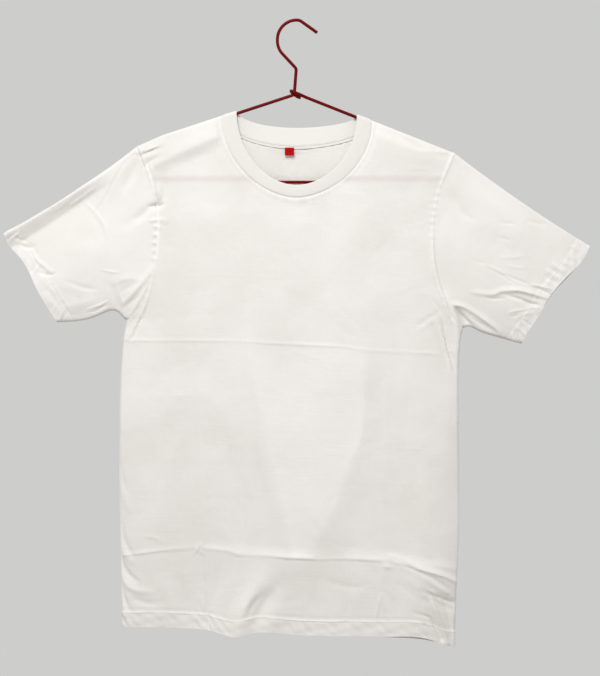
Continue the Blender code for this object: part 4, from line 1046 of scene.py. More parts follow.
def jerseyFinish():
    # Combed cotton single jersey, knitted and bleached: matt, soft, columns of small V loops,
    # slightly uneven yarn that leaves faint streaks along the wales, and a bloom at grazing angles.
    finish, tree, shader = newFinish("cottonSingleJersey", {
        "Roughness": 0.88, "Specular IOR Level": 0.18, "IOR": 1.5,
        "Sheen Weight": 0.22, "Sheen Roughness": 0.45,
    })
    shader.inputs["Sheen Tint"].default_value = linear("#FFFDFA")
    uv = addNode(tree, "UVMap", {"uv_map": "knit"})
    split = addNode(tree, "SeparateXYZ", {}, {0: uv})
    waleCount = addNode(tree, "Math", {"operation": "MULTIPLY", 1: 10 / knit["wale"]}, {0: split.outputs[0]})
    rowCount = addNode(tree, "Math", {"operation": "MULTIPLY", 1: 10 / knit["course"]}, {0: split.outputs[1]})
    tooth = addNode(tree, "Math", {"operation": "PINGPONG", 1: 0.5}, {0: waleCount})
    slant = addNode(tree, "Math", {"operation": "MULTIPLY_ADD", 1: 1.4}, {0: tooth, 2: rowCount})
    turn = addNode(tree, "Math", {"operation": "MULTIPLY", 1: 2 * math.pi}, {0: slant})
    loopWave = addNode(tree, "Math", {"operation": "SINE"}, {0: turn})
    ribWave = addNode(tree, "Math", {"operation": "MULTIPLY", 1: 2.4}, {0: tooth})
    loops = addNode(tree, "Math", {"operation": "MULTIPLY_ADD", 1: 0.35}, {0: loopWave, 2: ribWave})
    # yarn unevenness, long along the wales
    stretch = addNode(tree, "Mapping", {"Scale": (1.0, 0.08, 1.0)}, {0: uv})
    streak = addNode(tree, "TexNoise", {"Scale": 5.5, "Detail": 3.0, "Roughness": 0.6}, {"Vector": stretch})
    place = addNode(tree, "TexCoord")
    cloud = addNode(tree, "TexNoise", {"Scale": 9.0, "Detail": 4.0, "Roughness": 0.55},
                    {"Vector": place.outputs["Object"]})
    mixed = addNode(tree, "Math", {"operation": "MULTIPLY_ADD", 1: 0.13}, {0: streak, 2: cloud})
    level = addNode(tree, "MapRange", {1: 0.39, 2: 0.79, 3: 0.0, 4: 1.0}, {0: mixed})
    colour = addNode(tree, "Mix", {"data_type": "RGBA", 6: linear(knit["light"]), 7: linear(knit["shade"])},
                     {0: level})
    # painted shade: where the hanger's bar lies behind the front, a faint darker, reddish band is painted
    # into the colour, standing in for the bar seen through the thin knit
    axes = addNode(tree, "SeparateXYZ", {}, {0: place.outputs["Object"]})
    offBar = addNode(tree, "Math", {"operation": "SUBTRACT", 1: paintedBarShade["height"] * mm}, {0: axes.outputs[2]})
    farOff = addNode(tree, "Math", {"operation": "ABSOLUTE"}, {0: offBar})
    nearBar = addNode(tree, "MapRange", {"interpolation_type": "SMOOTHSTEP", 1: 0.0, 2: paintedBarShade["reach"] * mm,
                                         3: paintedBarShade["most"], 4: 0.0}, {0: farOff})
    sideways = addNode(tree, "Math", {"operation": "ABSOLUTE"}, {0: axes.outputs[0]})
    within = addNode(tree, "MapRange", {1: 0.198, 2: 0.206, 3: 1.0, 4: 0.0}, {0: sideways})
    side = addNode(tree, "MapRange", {1: 0.002, 2: -0.002, 3: paintedBarShade["behind"], 4: 1.0},
                   {0: axes.outputs[1]})
    faint = addNode(tree, "Math", {"operation": "MULTIPLY"}, {0: within, 1: side})
    barShadeShare = addNode(tree, "Math", {"operation": "MULTIPLY"}, {0: nearBar, 1: faint})
    tinted = addNode(tree, "Mix", {"data_type": "RGBA", 7: linear(paintedBarShade["tint"])},
                     {0: barShadeShare, 6: colour.outputs[2]})
    # painted light: between the drape lines down the front the colour is made whiter, a lit zone painted into
    # the cloth
    lightZone = addNode(tree, "MapRange", {"interpolation_type": "SMOOTHSTEP", 1: paintedLightZone["top"][0] * mm,
                                       2: paintedLightZone["top"][1] * mm}, {0: axes.outputs[2]})
    wander = addNode(tree, "Math", {"operation": "MULTIPLY_ADD", 1: paintedLightZone["wander"] * mm,
                                    2: -paintedLightZone["wander"] * mm / 2}, {0: cloud})
    wandering = addNode(tree, "Math", {"operation": "ADD"}, {0: axes.outputs[0], 1: wander})
    for (topX, topZ), (lowX, lowZ), way in paintedLightZone["lines"]:
        lean = (lowX - topX) / (lowZ - topZ)
        line = addNode(tree, "Math", {"operation": "MULTIPLY_ADD", 1: -lean},
                       {0: axes.outputs[2], 2: wandering})
        past = addNode(tree, "MapRange", {"interpolation_type": "SMOOTHSTEP", 1: (topX - lean * topZ) * mm,
                                          2: (topX - lean * topZ + way * paintedLightZone["soft"]) * mm}, {0: line})
        lightZone = addNode(tree, "Math", {"operation": "MULTIPLY"}, {0: lightZone, 1: past})
    lower = addNode(tree, "MapRange", {"interpolation_type": "SMOOTHSTEP", 1: paintedLightZone["foot"][0] * mm,
                                       2: paintedLightZone["foot"][1] * mm}, {0: axes.outputs[2]})
    lightZone = addNode(tree, "Math", {"operation": "MULTIPLY"}, {0: lightZone, 1: lower})
    inFront = addNode(tree, "Math", {"operation": "LESS_THAN", 1: 0.0}, {0: axes.outputs[1]})
    lightZone = addNode(tree, "Math", {"operation": "MULTIPLY"}, {0: lightZone, 1: inFront})
    # seam allowances and turned cuffs add layers and look whiter, and the same mark paints highlights on the
    # seam ridges; the mesh brings their amount
    layersAndHighlights = addNode(tree, "Attribute", {"attribute_name": "layers"})
    amount = addNode(tree, "Math", {"operation": "MULTIPLY_ADD", "use_clamp": True, 1: paintedLightZone["most"]},
                     {0: lightZone, 2: layersAndHighlights.outputs["Fac"]})
    layersAndPaintedLight = addNode(tree, "Mix", {"data_type": "RGBA", 7: linear(paintedLightZone["tint"])},
                     {0: amount, 6: tinted.outputs[2]})
    tree.links.new(layersAndPaintedLight.outputs[2], shader.inputs["Base Color"])
    # the hand of the cloth: fine crumple of 6 to 20 mm under the loops, and short rows of uneven tension
    crumple = addNode(tree, "TexNoise", {"Scale": 62.0, "Detail": 3.0, "Roughness": 0.5},
                      {"Vector": place.outputs["Object"]})
    laid = addNode(tree, "Mapping", {"Scale": (0.09, 1.0, 1.0)}, {0: uv})
    rowNoise = addNode(tree, "TexNoise", {"Scale": 2.2, "Detail": 2.0, "Roughness": 0.6}, {"Vector": laid})
    rowLines = addNode(tree, "MapRange", {1: 0.5, 2: 0.72, 3: 0.0, 4: 0.38}, {0: rowNoise})
    hand = addNode(tree, "Math", {"operation": "ADD"}, {0: crumple, 1: rowLines})
    dents = addNode(tree, "TexNoise", {"Scale": 19.0, "Detail": 2.0, "Roughness": 0.45, "Distortion": 0.6},
                    {"Vector": place.outputs["Object"]})
    broad = addNode(tree, "Bump", {"Strength": 0.5, "Distance": 0.004}, {"Height": dents})
    soft = addNode(tree, "Bump", {"Strength": 0.35, "Distance": 0.0006}, {"Height": hand, "Normal": broad})
    fine = addNode(tree, "Bump", {"Strength": 0.6, "Distance": knit["depth"]},
                   {"Height": loops, "Normal": soft})
    tree.links.new(fine.outputs[0], shader.inputs["Normal"])
    return finish


rib = {
    "wall": 2.0,
    "width": 19.0,
    "proud": 0.45,  # its outer face over the jersey, and the crown more in the middle
    "crown": 0.4,
    "lean": 4.5,
    "inside": 0.02,  # the band starts this far inside the neck seam
    "turns": 2000,  # points of half a neck line, from which the stations are taken
    "stations": 460,
    "pitch": 1.9,  # from rib to rib, mm
    "course": 1.1,  # height of one row of loops
}


def ribFinish():
    # 1x1 rib knit with a little elastane, folded double: rounded ridges run across the band.
    finish, tree, shader = newFinish("cottonRibKnit", {
        "Roughness": 0.9, "Specular IOR Level": 0.18, "Sheen Weight": 0.25, "Sheen Roughness": 0.45,
    })
    uv = addNode(tree, "UVMap", {"uv_map": "knit"})
    split = addNode(tree, "SeparateXYZ", {}, {0: uv})
    turn = addNode(tree, "Math", {"operation": "MULTIPLY", 1: 20 * math.pi / rib["pitch"]},
                   {0: split.outputs[0]})
    ridge = addNode(tree, "Math", {"operation": "SINE"}, {0: turn})
    rowTurn = addNode(tree, "Math", {"operation": "MULTIPLY", 1: 20 * math.pi / rib["course"]},
                      {0: split.outputs[1]})
    rows = addNode(tree, "Math", {"operation": "SINE"}, {0: rowTurn})
    height = addNode(tree, "Math", {"operation": "MULTIPLY_ADD", 1: 0.25}, {0: rows, 2: ridge})
    place = addNode(tree, "TexCoord")
    cloud = addNode(tree, "TexNoise", {"Scale": 30.0, "Detail": 3.0}, {"Vector": place.outputs["Object"]})
    # painted shade: the colour is darker in the valleys between the ribs and lighter on their crowns, with a
    # faint cloud over it
    level = addNode(tree, "MapRange", {1: -1.0, 2: 1.0, 3: 0.0, 4: 0.55}, {0: ridge})
    cloudAndRibShade = addNode(tree, "Math", {"operation": "MULTIPLY_ADD", 1: 0.4}, {0: cloud, 2: level})
    colour = addNode(tree, "Mix", {"data_type": "RGBA", 6: linear("#E7E4DF"), 7: linear("#EDEAE6")},
                     {0: cloudAndRibShade})
    tree.links.new(colour.outputs[2], shader.inputs["Base Color"])
    bump = addNode(tree, "Bump", {"Strength": 0.25, "Distance": 0.00025}, {"Height": height})
    tree.links.new(bump.outputs[0], shader.inputs["Normal"])
    return finish


def threadFinish():
    # Spun polyester sewing thread, white: a little brighter and smoother than the jersey.
    finish, tree, shader = newFinish("whiteSewingThread", {
        "Roughness": 0.55, "Specular IOR Level": 0.35, "Sheen Weight": 0.1,
    })
    place = addNode(tree, "TexCoord")
    # painted shade: darker bands in the grooves of the thread's twist
    twistShade = addNode(tree, "TexWave", {"Scale": 900.0, "Distortion": 1.0}, {"Vector": place.outputs["Object"]})
    colour = addNode(tree, "Mix", {"data_type": "RGBA", 6: linear("#F7F5F2"), 7: linear("#E8E5E1")},
                     {0: twistShade.outputs[1]})
    tree.links.new(colour.outputs[2], shader.inputs["Base Color"])
    return finish


weave = {"warp": 0.5, "weft": 0.7}  # mm; the threads are of 0.25 mm, drawn coarser so that they show


def labelFinish():
    # Woven polyester satin label, dyed red: fine shiny warp floats. Its colour follows the weave's height: a
    # painted sheen on the raised floats and painted shade in the darker ground between.
    finish, tree, shader = newFinish("redWovenSatin", {
        "Roughness": 0.55, "Specular IOR Level": 0.08,
    })
    uv = addNode(tree, "UVMap", {"uv_map": "knit"})
    split = addNode(tree, "SeparateXYZ", {}, {0: uv})
    warp = addNode(tree, "Math", {"operation": "MULTIPLY", 1: 20 * math.pi / weave["warp"]},
                   {0: split.outputs[0]})
    warpWave = addNode(tree, "Math", {"operation": "SINE"}, {0: warp})
    weft = addNode(tree, "Math", {"operation": "MULTIPLY", 1: 20 * math.pi / weave["weft"]},
                   {0: split.outputs[1]})
    weftWave = addNode(tree, "Math", {"operation": "SINE"}, {0: weft})
    height = addNode(tree, "Math", {"operation": "MULTIPLY_ADD", 1: 0.4}, {0: weftWave, 2: warpWave})
    # painted shade and sheen: darker where the weave lies low, lighter where it is raised
    level = addNode(tree, "MapRange", {1: -1.4, 2: 1.4}, {0: height})
    colour = addNode(tree, "Mix", {"data_type": "RGBA", 6: linear("#9C0503"), 7: linear("#C80705")},
                     {0: level})
    tree.links.new(colour.outputs[2], shader.inputs["Base Color"])
    bump = addNode(tree, "Bump", {"Strength": 0.5, "Distance": 0.00012}, {"Height": height})
    tree.links.new(bump.outputs[0], shader.inputs["Normal"])
    return finish


def coatFinish():
    # Steel wire dipped in oxblood PVC: a smooth, slightly wavy coat with a wet-looking gloss,
    # duller and scuffed where it has rubbed on rails.
    finish, tree, shader = newFinish("dippedPvcCoat", {
        "Specular IOR Level": 0.06, "IOR": 1.5, "Coat Weight": 0.03, "Coat Roughness": 0.15,
    })
    place = addNode(tree, "TexCoord")
    cloud = addNode(tree, "TexNoise", {"Scale": 40.0, "Detail": 4.0}, {"Vector": place.outputs["Object"]})
    scuff = addNode(tree, "TexNoise", {"Scale": 420.0, "Detail": 5.0, "Roughness": 0.7},
                    {"Vector": place.outputs["Object"]})
    colour = addNode(tree, "Mix", {"data_type": "RGBA", 6: linear("#5A0302"), 7: linear("#7C0604")},
                     {0: cloud})
    worn = addNode(tree, "MapRange", {1: 0.62, 2: 0.74}, {0: scuff})
    tinted = addNode(tree, "Mix", {"data_type": "RGBA", 7: linear("#6A1512")},
                     {0: worn, 6: colour.outputs[2]})
    tree.links.new(tinted.outputs[2], shader.inputs["Base Color"])
    rough = addNode(tree, "MapRange", {1: 0.3, 2: 0.75, 3: 0.24, 4: 0.5}, {0: scuff})
    tree.links.new(rough.outputs[0], shader.inputs["Roughness"])
    bump = addNode(tree, "Bump", {"Strength": 0.25, "Distance": 0.0003}, {"Height": cloud})
    tree.links.new(bump.outputs[0], shader.inputs["Normal"])
    return finish


jersey = jerseyFinish()
ribKnit = ribFinish()
thread = threadFinish()
satin = labelFinish()
pvcCoat = coatFinish()
print("finishes made")


def placeCamera():
    data = bpy.data.cameras.new("camera")
    data.sensor_fit = "VERTICAL"
    data.sensor_height = studio["sensor"]
    data.lens = studio["sensor"] * studio["distance"] / studio["frameHeight"]
    data.clip_start, data.clip_end = 0.05, 30
    camera = bpy.data.objects.new("camera", data)
    camera.location = (studio["middle"][0] * mm, -studio["distance"] * mm, studio["middle"][1] * mm)
    camera.rotation_euler = (math.radians(90), 0, 0)
    bpy.context.scene.collection.objects.link(camera)
    bpy.context.scene.camera = camera


def areaLight(name, place, aim, size, power):
    data = bpy.data.lights.new(name, "AREA")
    data.shape = "DISK"
    data.size = size
    data.energy = power
    lamp = bpy.data.objects.new(name, data)
    lamp.location = place
    lamp.visible_camera = False
    lamp.rotation_euler = (Vector(aim) - Vector(place)).to_track_quat("-Z", "Y").to_euler()
    bpy.context.scene.collection.objects.link(lamp)


def boardFinish():
    # Painted board, plain and matt.
    finish, tree, shader = newFinish("paintedBoard", {"Roughness": 0.9, "Specular IOR Level": 0.2})
    place = addNode(tree, "TexCoord")
    grain = addNode(tree, "TexNoise", {"Scale": 3.0, "Detail": 2.0}, {"Vector": place.outputs["Object"]})
    colour = addNode(tree, "Mix", {"data_type": "RGBA", 6: linear("#BDBCBA"), 7: linear("#B8B7B5")},
                     {0: grain})
    tree.links.new(colour.outputs[2], shader.inputs["Base Color"])
    return finish


def setStudio():
    placeCamera()
    world = bpy.data.worlds.new("paleStudio")
    world.use_nodes = True
    background = world.node_tree.nodes["Background"]
    background.inputs["Color"].default_value = linear(studio["wall"])
    background.inputs["Strength"].default_value = 1.0
    bpy.context.scene.world = world
    bpy.context.scene.view_settings.view_transform = "Standard"
    bm = bmesh.new()
    bmesh.ops.create_circle(bm, cap_ends=True, segments=96, radius=studio["floorReach"] * mm)
    bmesh.ops.translate(bm, verts=bm.verts, vec=(0, -studio["floorShift"] * mm, -studio["floorDrop"] * mm))
    floor = bpy.data.objects.new("floor", meshFrom(bm, "floor"))
    floor.data.materials.append(boardFinish())
    bpy.context.scene.collection.objects.link(floor)
    aim = (0, 0, studio["middle"][1] * mm)
    areaLight("key", studio["keyPlace"], studio["keyAim"], studio["keySize"], studio["keyPower"])
    areaLight("fill", studio["fillPlace"], aim, studio["fillSize"], studio["fillPower"])


setStudio()
print("camera, floor and lights set")


panels = {
    "acrossStep": 3.7,
    "downStep": 4.3,
    "width": 475,
    "length": 681,  # from shoulder to hem, used to place the closer rows
    "armholeLength": 244,
    # where rows and columns lie closer: middle, reach, step
    "acrossBands": ((0, 1.5, 0.25), (475, 1.5, 0.25), (0, 6, 0.9), (475, 6, 0.9), (18, 26, 2.0),
                    (457, 26, 2.0), (110, 6, 1.7), (364, 6, 1.7), (130, 18, 2.1), (345, 18, 2.1)),
    "downBands": ((0, 4, 0.6), (40, 62, 2.3), (200, 50, 2.7), (275, 9, 1.25), (610, 72, 2.2), (578, 8, 1.2),
                  (663, 5, 1.1), (681, 4, 1.2)),
}


def panelGrid(front):
    # the panel's flat places, a row from each pair of points on its two long edges
    scoop = 1.0 if front else body["backScoop"]
    width, length, split = panels["width"], panels["length"], panels["armholeLength"]
    across = stations(0, width, panels["acrossStep"], panels["acrossBands"]) / width
    across = (across + (1 - across[::-1])) / 2 if front else across
    down = stations(0, length, panels["downStep"], panels["downBands"])

    def edgePlace(side, run):
        if run <= split:
            return armhole(side, min(run / split, 1), scoop, -body["armholeGap"] / 2)
        return sideFold(side, (run - split) / (length - split))

    right, left = (np.array([edgePlace(side, run) for run in down], float) for side in sides)
    share = across[None, :]
    x = right[:, :1] + (left[:, :1] - right[:, :1]) * share
    z = right[:, 1:] + (left[:, 1:] - right[:, 1:]) * share
    sunk = (right[0, 1] - right[:, 1:]) / (right[0, 1] - right[-1, 1])
    z = z + (shoulderHeight(x[0]) - z[0])[None, :] * (1 - sunk) ** 4
    level = right[-1, 1] + (left[-1, 1] - right[-1, 1]) * across
    z = z + (hemHeight[front](x[-1]) - level)[None, :] * sunk**4
    return x, z


neckCut = {"outside": 0.02, "above": 60, "snap": 0.7}  # mm; corners within the snap move onto the cut


def cutNeck(bm, front):
    # cuts the sheet along the neck seam and takes away what is inside
    line = np.stack(neckCurve(neckSeam, front, neckAngles, neckCut["outside"]), -1)
    line = np.vstack([line[0] + (0, neckCut["above"]), line, line[-1] + (0, neckCut["above"])])
    bm.verts.ensure_lookup_table()

    def inside(verts):
        x = np.array([v.co.x for v in verts])
        z = np.array([v.co.z for v in verts])
        return beside(x, z, line)[0]

    def pull(verts):
        # moves vertices onto the seam
        for vertex in verts:
            x, z = vertex.co.x, vertex.co.z
            _, along = beside(np.array([x]), np.array([z]), line)
            i = min(int(along[0]), len(line) - 2)
            t = along[0] - i
            vertex.co.x = line[i][0] + (line[i + 1][0] - line[i][0]) * t
            vertex.co.z = line[i][1] + (line[i + 1][1] - line[i][1]) * t

    far = inside(bm.verts)
    close = [v for v in bm.verts if abs(far[v.index]) < neckCut["snap"]]
    pull(close)
    far[[v.index for v in close]] = 0
    crossing = [e for e in bm.edges if far[e.verts[0].index] * far[e.verts[1].index] < 0]
    state = bm.verts.layers.int.new("cut")  # 0 is on the seam, 1 stays and 2 goes
    for vertex in bm.verts:
        vertex[state] = 0 if far[vertex.index] == 0 else 2 if far[vertex.index] > 0 else 1
    made = bmesh.ops.subdivide_edges(bm, edges=crossing, cuts=1, quad_corner_type="STRAIGHT_CUT")
    onSeam = [v for v in made["geom_inner"] if isinstance(v, bmesh.types.BMVert)]
    pull(onSeam)
    for vertex in onSeam:
        vertex[state] = 0
    bmesh.ops.connect_verts(bm, verts=[v for v in bm.verts if v[state] == 0])
    bmesh.ops.delete(bm, geom=[v for v in bm.verts if v[state] == 2], context="VERTS")


hemLift = smoothTable((  # x, how much higher the front's hem hangs there than the back's
    (-246, 0), (-215, 2.2), (-120, 2.4), (40, 2.6), (120, 4.2), (176, 4.4), (206, 2.0), (223, 0)))
liftReach = 110  # how far up from the hem the lift is felt


def liftHem(places, x, z):
    places[..., 2] += hemLift(x) * (1 - smoothStep(0, liftReach, z - hemHeight[True](x)))


def turnedUp(piece, folded):
    # gives the cloth its wall, thicker where it is folded into a hem
    weigh(piece, "folded", folded)
    thicken(piece, body["hemWall"], group="folded", thin=body["wall"] / body["hemWall"])
    mesh = piece.data
    print(piece.name, "made:", len(mesh.polygons), "faces,", round(outerArea(mesh), 4), "m2")
    return piece


def bodyPanel(name, front):
    x, z = panelGrid(front)
    if not front:
        x, z = x[:, ::-1], z[:, ::-1]
    bm = flatGrid(x, z)
    cutNeck(bm, front)
    mesh = meshFrom(bm, name)
    flat = meshPlaces(mesh)
    places, normals = onCloth(flat[:, 0], flat[:, 2], front)
    if front:
        liftHem(places, flat[:, 0], flat[:, 2])
    facing = -1 if front else 1
    places[:, 1] += facing * body["panelGap"] / 2
    markLayersAndHighlights(mesh, flat[:, 0], flat[:, 2], front)
    knitMap(mesh, *runLengths(clothForm(x, z, front)[0]))
    setPlaces(mesh, places)
    piece = newObject(name, mesh, jersey)
    up = flat[:, 2] - hemHeight[front](flat[:, 0])
    return turnedUp(piece, 1 - smoothStep(*seams["hemFold"], up))


frontPanel = bodyPanel("frontPanel", True)
backPanel = bodyPanel("backPanel", False)
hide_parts("front_panel")
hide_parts("back_panel")


sleeveMesh = {
    "length": 190,
    "height": 244,
    "alongSteps": 104,
    "downStep": 1.75,
    "alongBands": ((2, 4, 1.2), (171, 5, 1.1), (190, 3, 1.2)),
    "downBands": ((0, 4, 0.6), (244, 4, 0.6)),
    "slip": 3.6,  # how far the left cuff's front has slipped back
}


def sleeveTube(name, side):
    # one tube: its front from the top fold to the under fold, then its back
    length, height = sleeveMesh["length"], sleeveMesh["height"]
    down = stations(0, height, sleeveMesh["downStep"], sleeveMesh["downBands"]) / height
    along = stations(0, length, length / sleeveMesh["alongSteps"], sleeveMesh["alongBands"])
    along = along[:, None] / length
    # at the left cuff the front layer has slipped back a little and leaves the inside of the back in sight
    slip = sleeveMesh["slip"] * smoothStep(0.08, 0.35, down) * (1 - smoothStep(0.9, 1.0, down)) * (side > 0)
    shift = slip[None, :] / length * smoothStep(0.8, 1, along)
    front = sleevePlace(side, along * (1 - shift), down[None, :], 1.0)
    back = sleevePlace(side, along, down[None, ::-1], body["backScoop"])
    x = np.hstack([front[0][:, :-1], back[0]])
    z = np.hstack([front[1][:, :-1], back[1]])
    isFront = np.zeros(x.shape, bool)
    isFront[:, :len(down) - 1] = True
    frontPlaces, _ = onCloth(x, z, True)
    backPlaces, _ = onCloth(x, z, False)
    places = np.where(isFront[..., None], frontPlaces, backPlaces)
    for column in (0, len(down) - 1, x.shape[1] - 1):
        places[:, column, 1] = -rolledTop(x[:, column], z[:, column], False)
    acrossRun, alongRun = runLengths(places)
    if side > 0:
        x, z, places = x[:, ::-1], z[:, ::-1], places[:, ::-1]
        acrossRun = acrossRun[-1] - acrossRun[::-1]
    bm = flatGrid(x, z)
    placeGrid(bm, places)
    bmesh.ops.remove_doubles(bm, verts=bm.verts, dist=0.001)
    mesh = meshFrom(bm, name)
    knitMap(mesh, acrossRun, alongRun)
    flat = meshPlaces(mesh)
    up = np.abs(beside(flat[:, 0], flat[:, 2], cuffLines[side])[0])
    markLayersAndHighlights(mesh, flat[:, 0], flat[:, 2], flat[:, 1] < 0)
    setPlaces(mesh, flat)
    piece = newObject(name, mesh, jersey)
    return turnedUp(piece, 1 - smoothStep(*seams["cuffFold"], up))


rightSleeve = sleeveTube("rightSleeve", -1)
leftSleeve = sleeveTube("leftSleeve", 1)
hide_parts("right_sleeve")
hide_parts("left_sleeve")


def ribSection():
    # the folded band's section: share of the way from its seam to its fold, height over the jersey
    half, wide = rib["wall"] / 2, rib["width"]
    middle = rib["proud"] - half
    section = []
    for share in (0, 0.02, 0.045, 0.07, 0.1, 0.13, 0.17, 0.22, *np.linspace(0.28, 0.9, 10)):
        rise = min(1, share / 0.15)
        swell = rib["crown"] * math.sin(math.pi * min(1, share * 1.05)) ** 0.8
        section.append((share, (rib["proud"] + swell) * rise * (2 - rise) - 0.04 * (1 - rise)))
    for turn in np.linspace(75, -75, 7):
        angle = math.radians(turn)
        section.append((1 - half / wide + half / wide * math.cos(angle), middle + half * math.sin(angle)))
    for share in np.linspace(0.9, 0.03, 8):
        section.append((share, rib["proud"] - rib["wall"]))
    section.append((0, middle - 0.5))
    return np.array(section)


def closedLine(line, shift):
    # a neck line all the way round, first in front and then behind
    angles = np.linspace(0, math.pi, rib["turns"])
    frontX, frontZ = neckCurve(line, True, angles, shift)
    backX, backZ = neckCurve(line, False, angles[::-1], shift)
    return np.concatenate([frontX, backX[1:]]), np.concatenate([frontZ, backZ[1:]])


def bandPlaces(x, z, share, height, isFront):
    # one ring of the rib, in front or behind: share of the way from its seam to its fold
    points, normals, _ = clothForm(x, z, isFront)
    slow = 0.35 * np.sin(x / 31 + (0.4 if isFront else 2.0)) * share
    if isFront and height > rib["proud"] - rib["wall"] / 2:
        slow = slow - 0.6 * neckLow(x) * math.exp(-((share * rib["width"] / 1.5) ** 2))
    points = points + normals * (height + slow)[:, None]
    if not isFront:  # the band leans back behind the neck, so that its inside faces up a little
        points[:, 1] += rib["lean"] * share * np.clip(1 - (x / neckEdge["half"]) ** 4, 0, 1)
    return points


def neckRib():
    seam, edge = closedLine(neckSeam, -rib["inside"]), closedLine(neckEdge, 0.0)
    # stations evenly along the seam, which the edge takes over so that both match
    run = np.concatenate([[0], np.cumsum(np.hypot(np.diff(seam[0]), np.diff(seam[1])))])
    turn = np.arange(len(run))
    index = np.interp(np.linspace(0, run[-1], rib["stations"] + 1)[:-1], run, turn)
    seamX, seamZ, edgeX, edgeZ = (np.interp(index, turn, part) for part in (*seam, *edge))
    inFront = index <= rib["turns"] - 1
    rings = []
    for share, height in ribSection():
        x, z = seamX + (edgeX - seamX) * share, seamZ + (edgeZ - seamZ) * share
        places = np.zeros((len(x), 3))
        for isFront in (True, False):
            chosen = inFront == isFront
            places[chosen] = bandPlaces(x[chosen], z[chosen], share, height, isFront)
        rings.append(places)
    grid = np.array(rings)
    grid = np.concatenate([grid, grid[:1]], 0)
    grid = np.concatenate([grid, grid[:, :1]], 1)[:, ::-1]
    bm = flatGrid(grid[..., 0], grid[..., 2])
    placeGrid(bm, grid)
    bmesh.ops.remove_doubles(bm, verts=bm.verts, dist=0.001)
    bmesh.ops.recalc_face_normals(bm, faces=bm.faces)
    mesh = meshFrom(bm, "neckRib")
    knitMap(mesh, *runLengths(grid))
    setPlaces(mesh, meshPlaces(mesh))
    return newObject("neckRib", mesh, ribKnit)


neckBand = neckRib()
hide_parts("neck_rib")
print("neckRib made:", len(neckBand.data.polygons), "faces")


# inwards is from the back's outer face to the sheet's, and steps are points across and down
tape = {"width": 3.4, "drop": 0.15, "half": 86, "wall": 0.6, "crown": 0.06, "inwards": 1.4, "steps": (190, 7)}
label = {
    "x": -10.2, "drop": 2.1, "width": 13, "height": 11, "lift": 2.0, "curl": 0.5, "wall": 0.7,
    "inwards": 2.75, "steps": (27, 23),
}


def backSeamHeight(x):
    angle = np.arccos(-np.sign(x) * (np.abs(x) / neckSeam["half"]) ** (1 / neckSeam["taper"]))
    return neckCurve(neckSeam, False, angle)[1]


def innerSheet(name, x, z, inwards, wall, finish):
    # a small sheet on the inner face of the back, facing the front
    places, normals, _ = clothForm(x, z, False)
    places = places - np.array([0, 1, 0]) * inwards[..., None]
    bm = flatGrid(x, z)
    placeGrid(bm, places)
    mesh = meshFrom(bm, name)
    knitMap(mesh, *runLengths(places))
    setPlaces(mesh, meshPlaces(mesh))
    return thicken(newObject(name, mesh, finish), wall, offset=1.0)


def neckTape():
    across, down = tape["steps"]
    x = np.linspace(-tape["half"], tape["half"], across)[None, :].repeat(down, 0)
    share = np.linspace(0, 1, down)[:, None]
    z = backSeamHeight(x) - tape["drop"] - tape["width"] * share
    crown = tape["crown"] * np.sin(math.pi * share) * np.ones(x.shape)
    return innerSheet("neckTape", x, z, tape["inwards"] + crown, tape["wall"], jersey)


def sizeLabel():
    half = label["width"] / 2
    across, rows = label["steps"]
    x = np.linspace(label["x"] - half, label["x"] + half, across)[None, :].repeat(rows, 0)
    down = np.linspace(0, 1, rows)[:, None]
    top = backSeamHeight(np.array([float(label["x"])]))[0] - label["drop"]
    z = top - label["height"] * down * np.ones(x.shape)
    curl = label["curl"] * ((x - label["x"]) / half) ** 2 * down
    inwards = label["inwards"] + label["lift"] * down**2 + curl
    return innerSheet("sizeLabel", x, z, inwards * np.ones(x.shape), label["wall"], satin)


backTape = neckTape()
backLabel = sizeLabel()
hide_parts("neck_tape")
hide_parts("size_label")
print("tape and label made")


stitch = {
    "long": 2.5, "gap": 0.7, "thick": 0.42, "rise": 0.12,
    "points": {"neck": 300, "hem": 320, "cuff": 160},  # along a row
}


def stitchRun(bm, places, normals):
    # small rounded stitches set end to end along a line of points on the cloth
    lengths = np.linalg.norm(np.diff(places, axis=0), axis=1)
    run = np.concatenate([[0], np.cumsum(lengths)])
    middles = np.arange(stitch["long"], run[-1] - stitch["long"] / 2, stitch["long"] + stitch["gap"])

    def at(place, values):
        return Vector([np.interp(place, run, values[:, k]) for k in range(3)])

    onSide = Matrix.Rotation(math.pi / 2, 4, "Y")
    for middle in middles:
        first, last = (at(middle + end * stitch["long"] / 2, places) for end in (-1, 1))
        up = at(middle, normals).normalized()
        along = (last - first).normalized()
        across = up.cross(along).normalized()
        centre = (first + last) / 2 + up * stitch["rise"]
        shape = Matrix((along * stitch["long"] / 2, across * stitch["thick"] / 2, up * stitch["thick"] / 2))
        turned = Matrix.Translation(centre) @ shape.transposed().to_4x4() @ onSide
        bmesh.ops.create_uvsphere(bm, u_segments=6, v_segments=4, radius=1, matrix=turned)


def stitchPiece(name, lines):
    bm = bmesh.new()
    for x, z, front in lines:
        places, normals = onCloth(x, z, front)
        if front and name == "hemStitches":
            liftHem(places, x, z)
        stitchRun(bm, places, normals)
    mesh = meshFrom(bm, name)
    setPlaces(mesh, meshPlaces(mesh))
    return newObject(name, mesh, thread)


def hemRow(front, up):
    x = np.linspace(float(bodyEdge[-1](-840)) + 1, float(bodyEdge[1](-850)) - 1, stitch["points"]["hem"])
    return x, hemHeight[front](x) + up, front


def cuffRow(side, front, up):
    down = np.linspace(0.01, 0.99, stitch["points"]["cuff"])
    x, z = sleeveCuff(side, down)
    # square to the cuff's own run
    dx, dz = np.gradient(x), np.gradient(z)
    size = np.hypot(dx, dz)
    return x + side * dz / size * up, z - side * dx / size * up, front


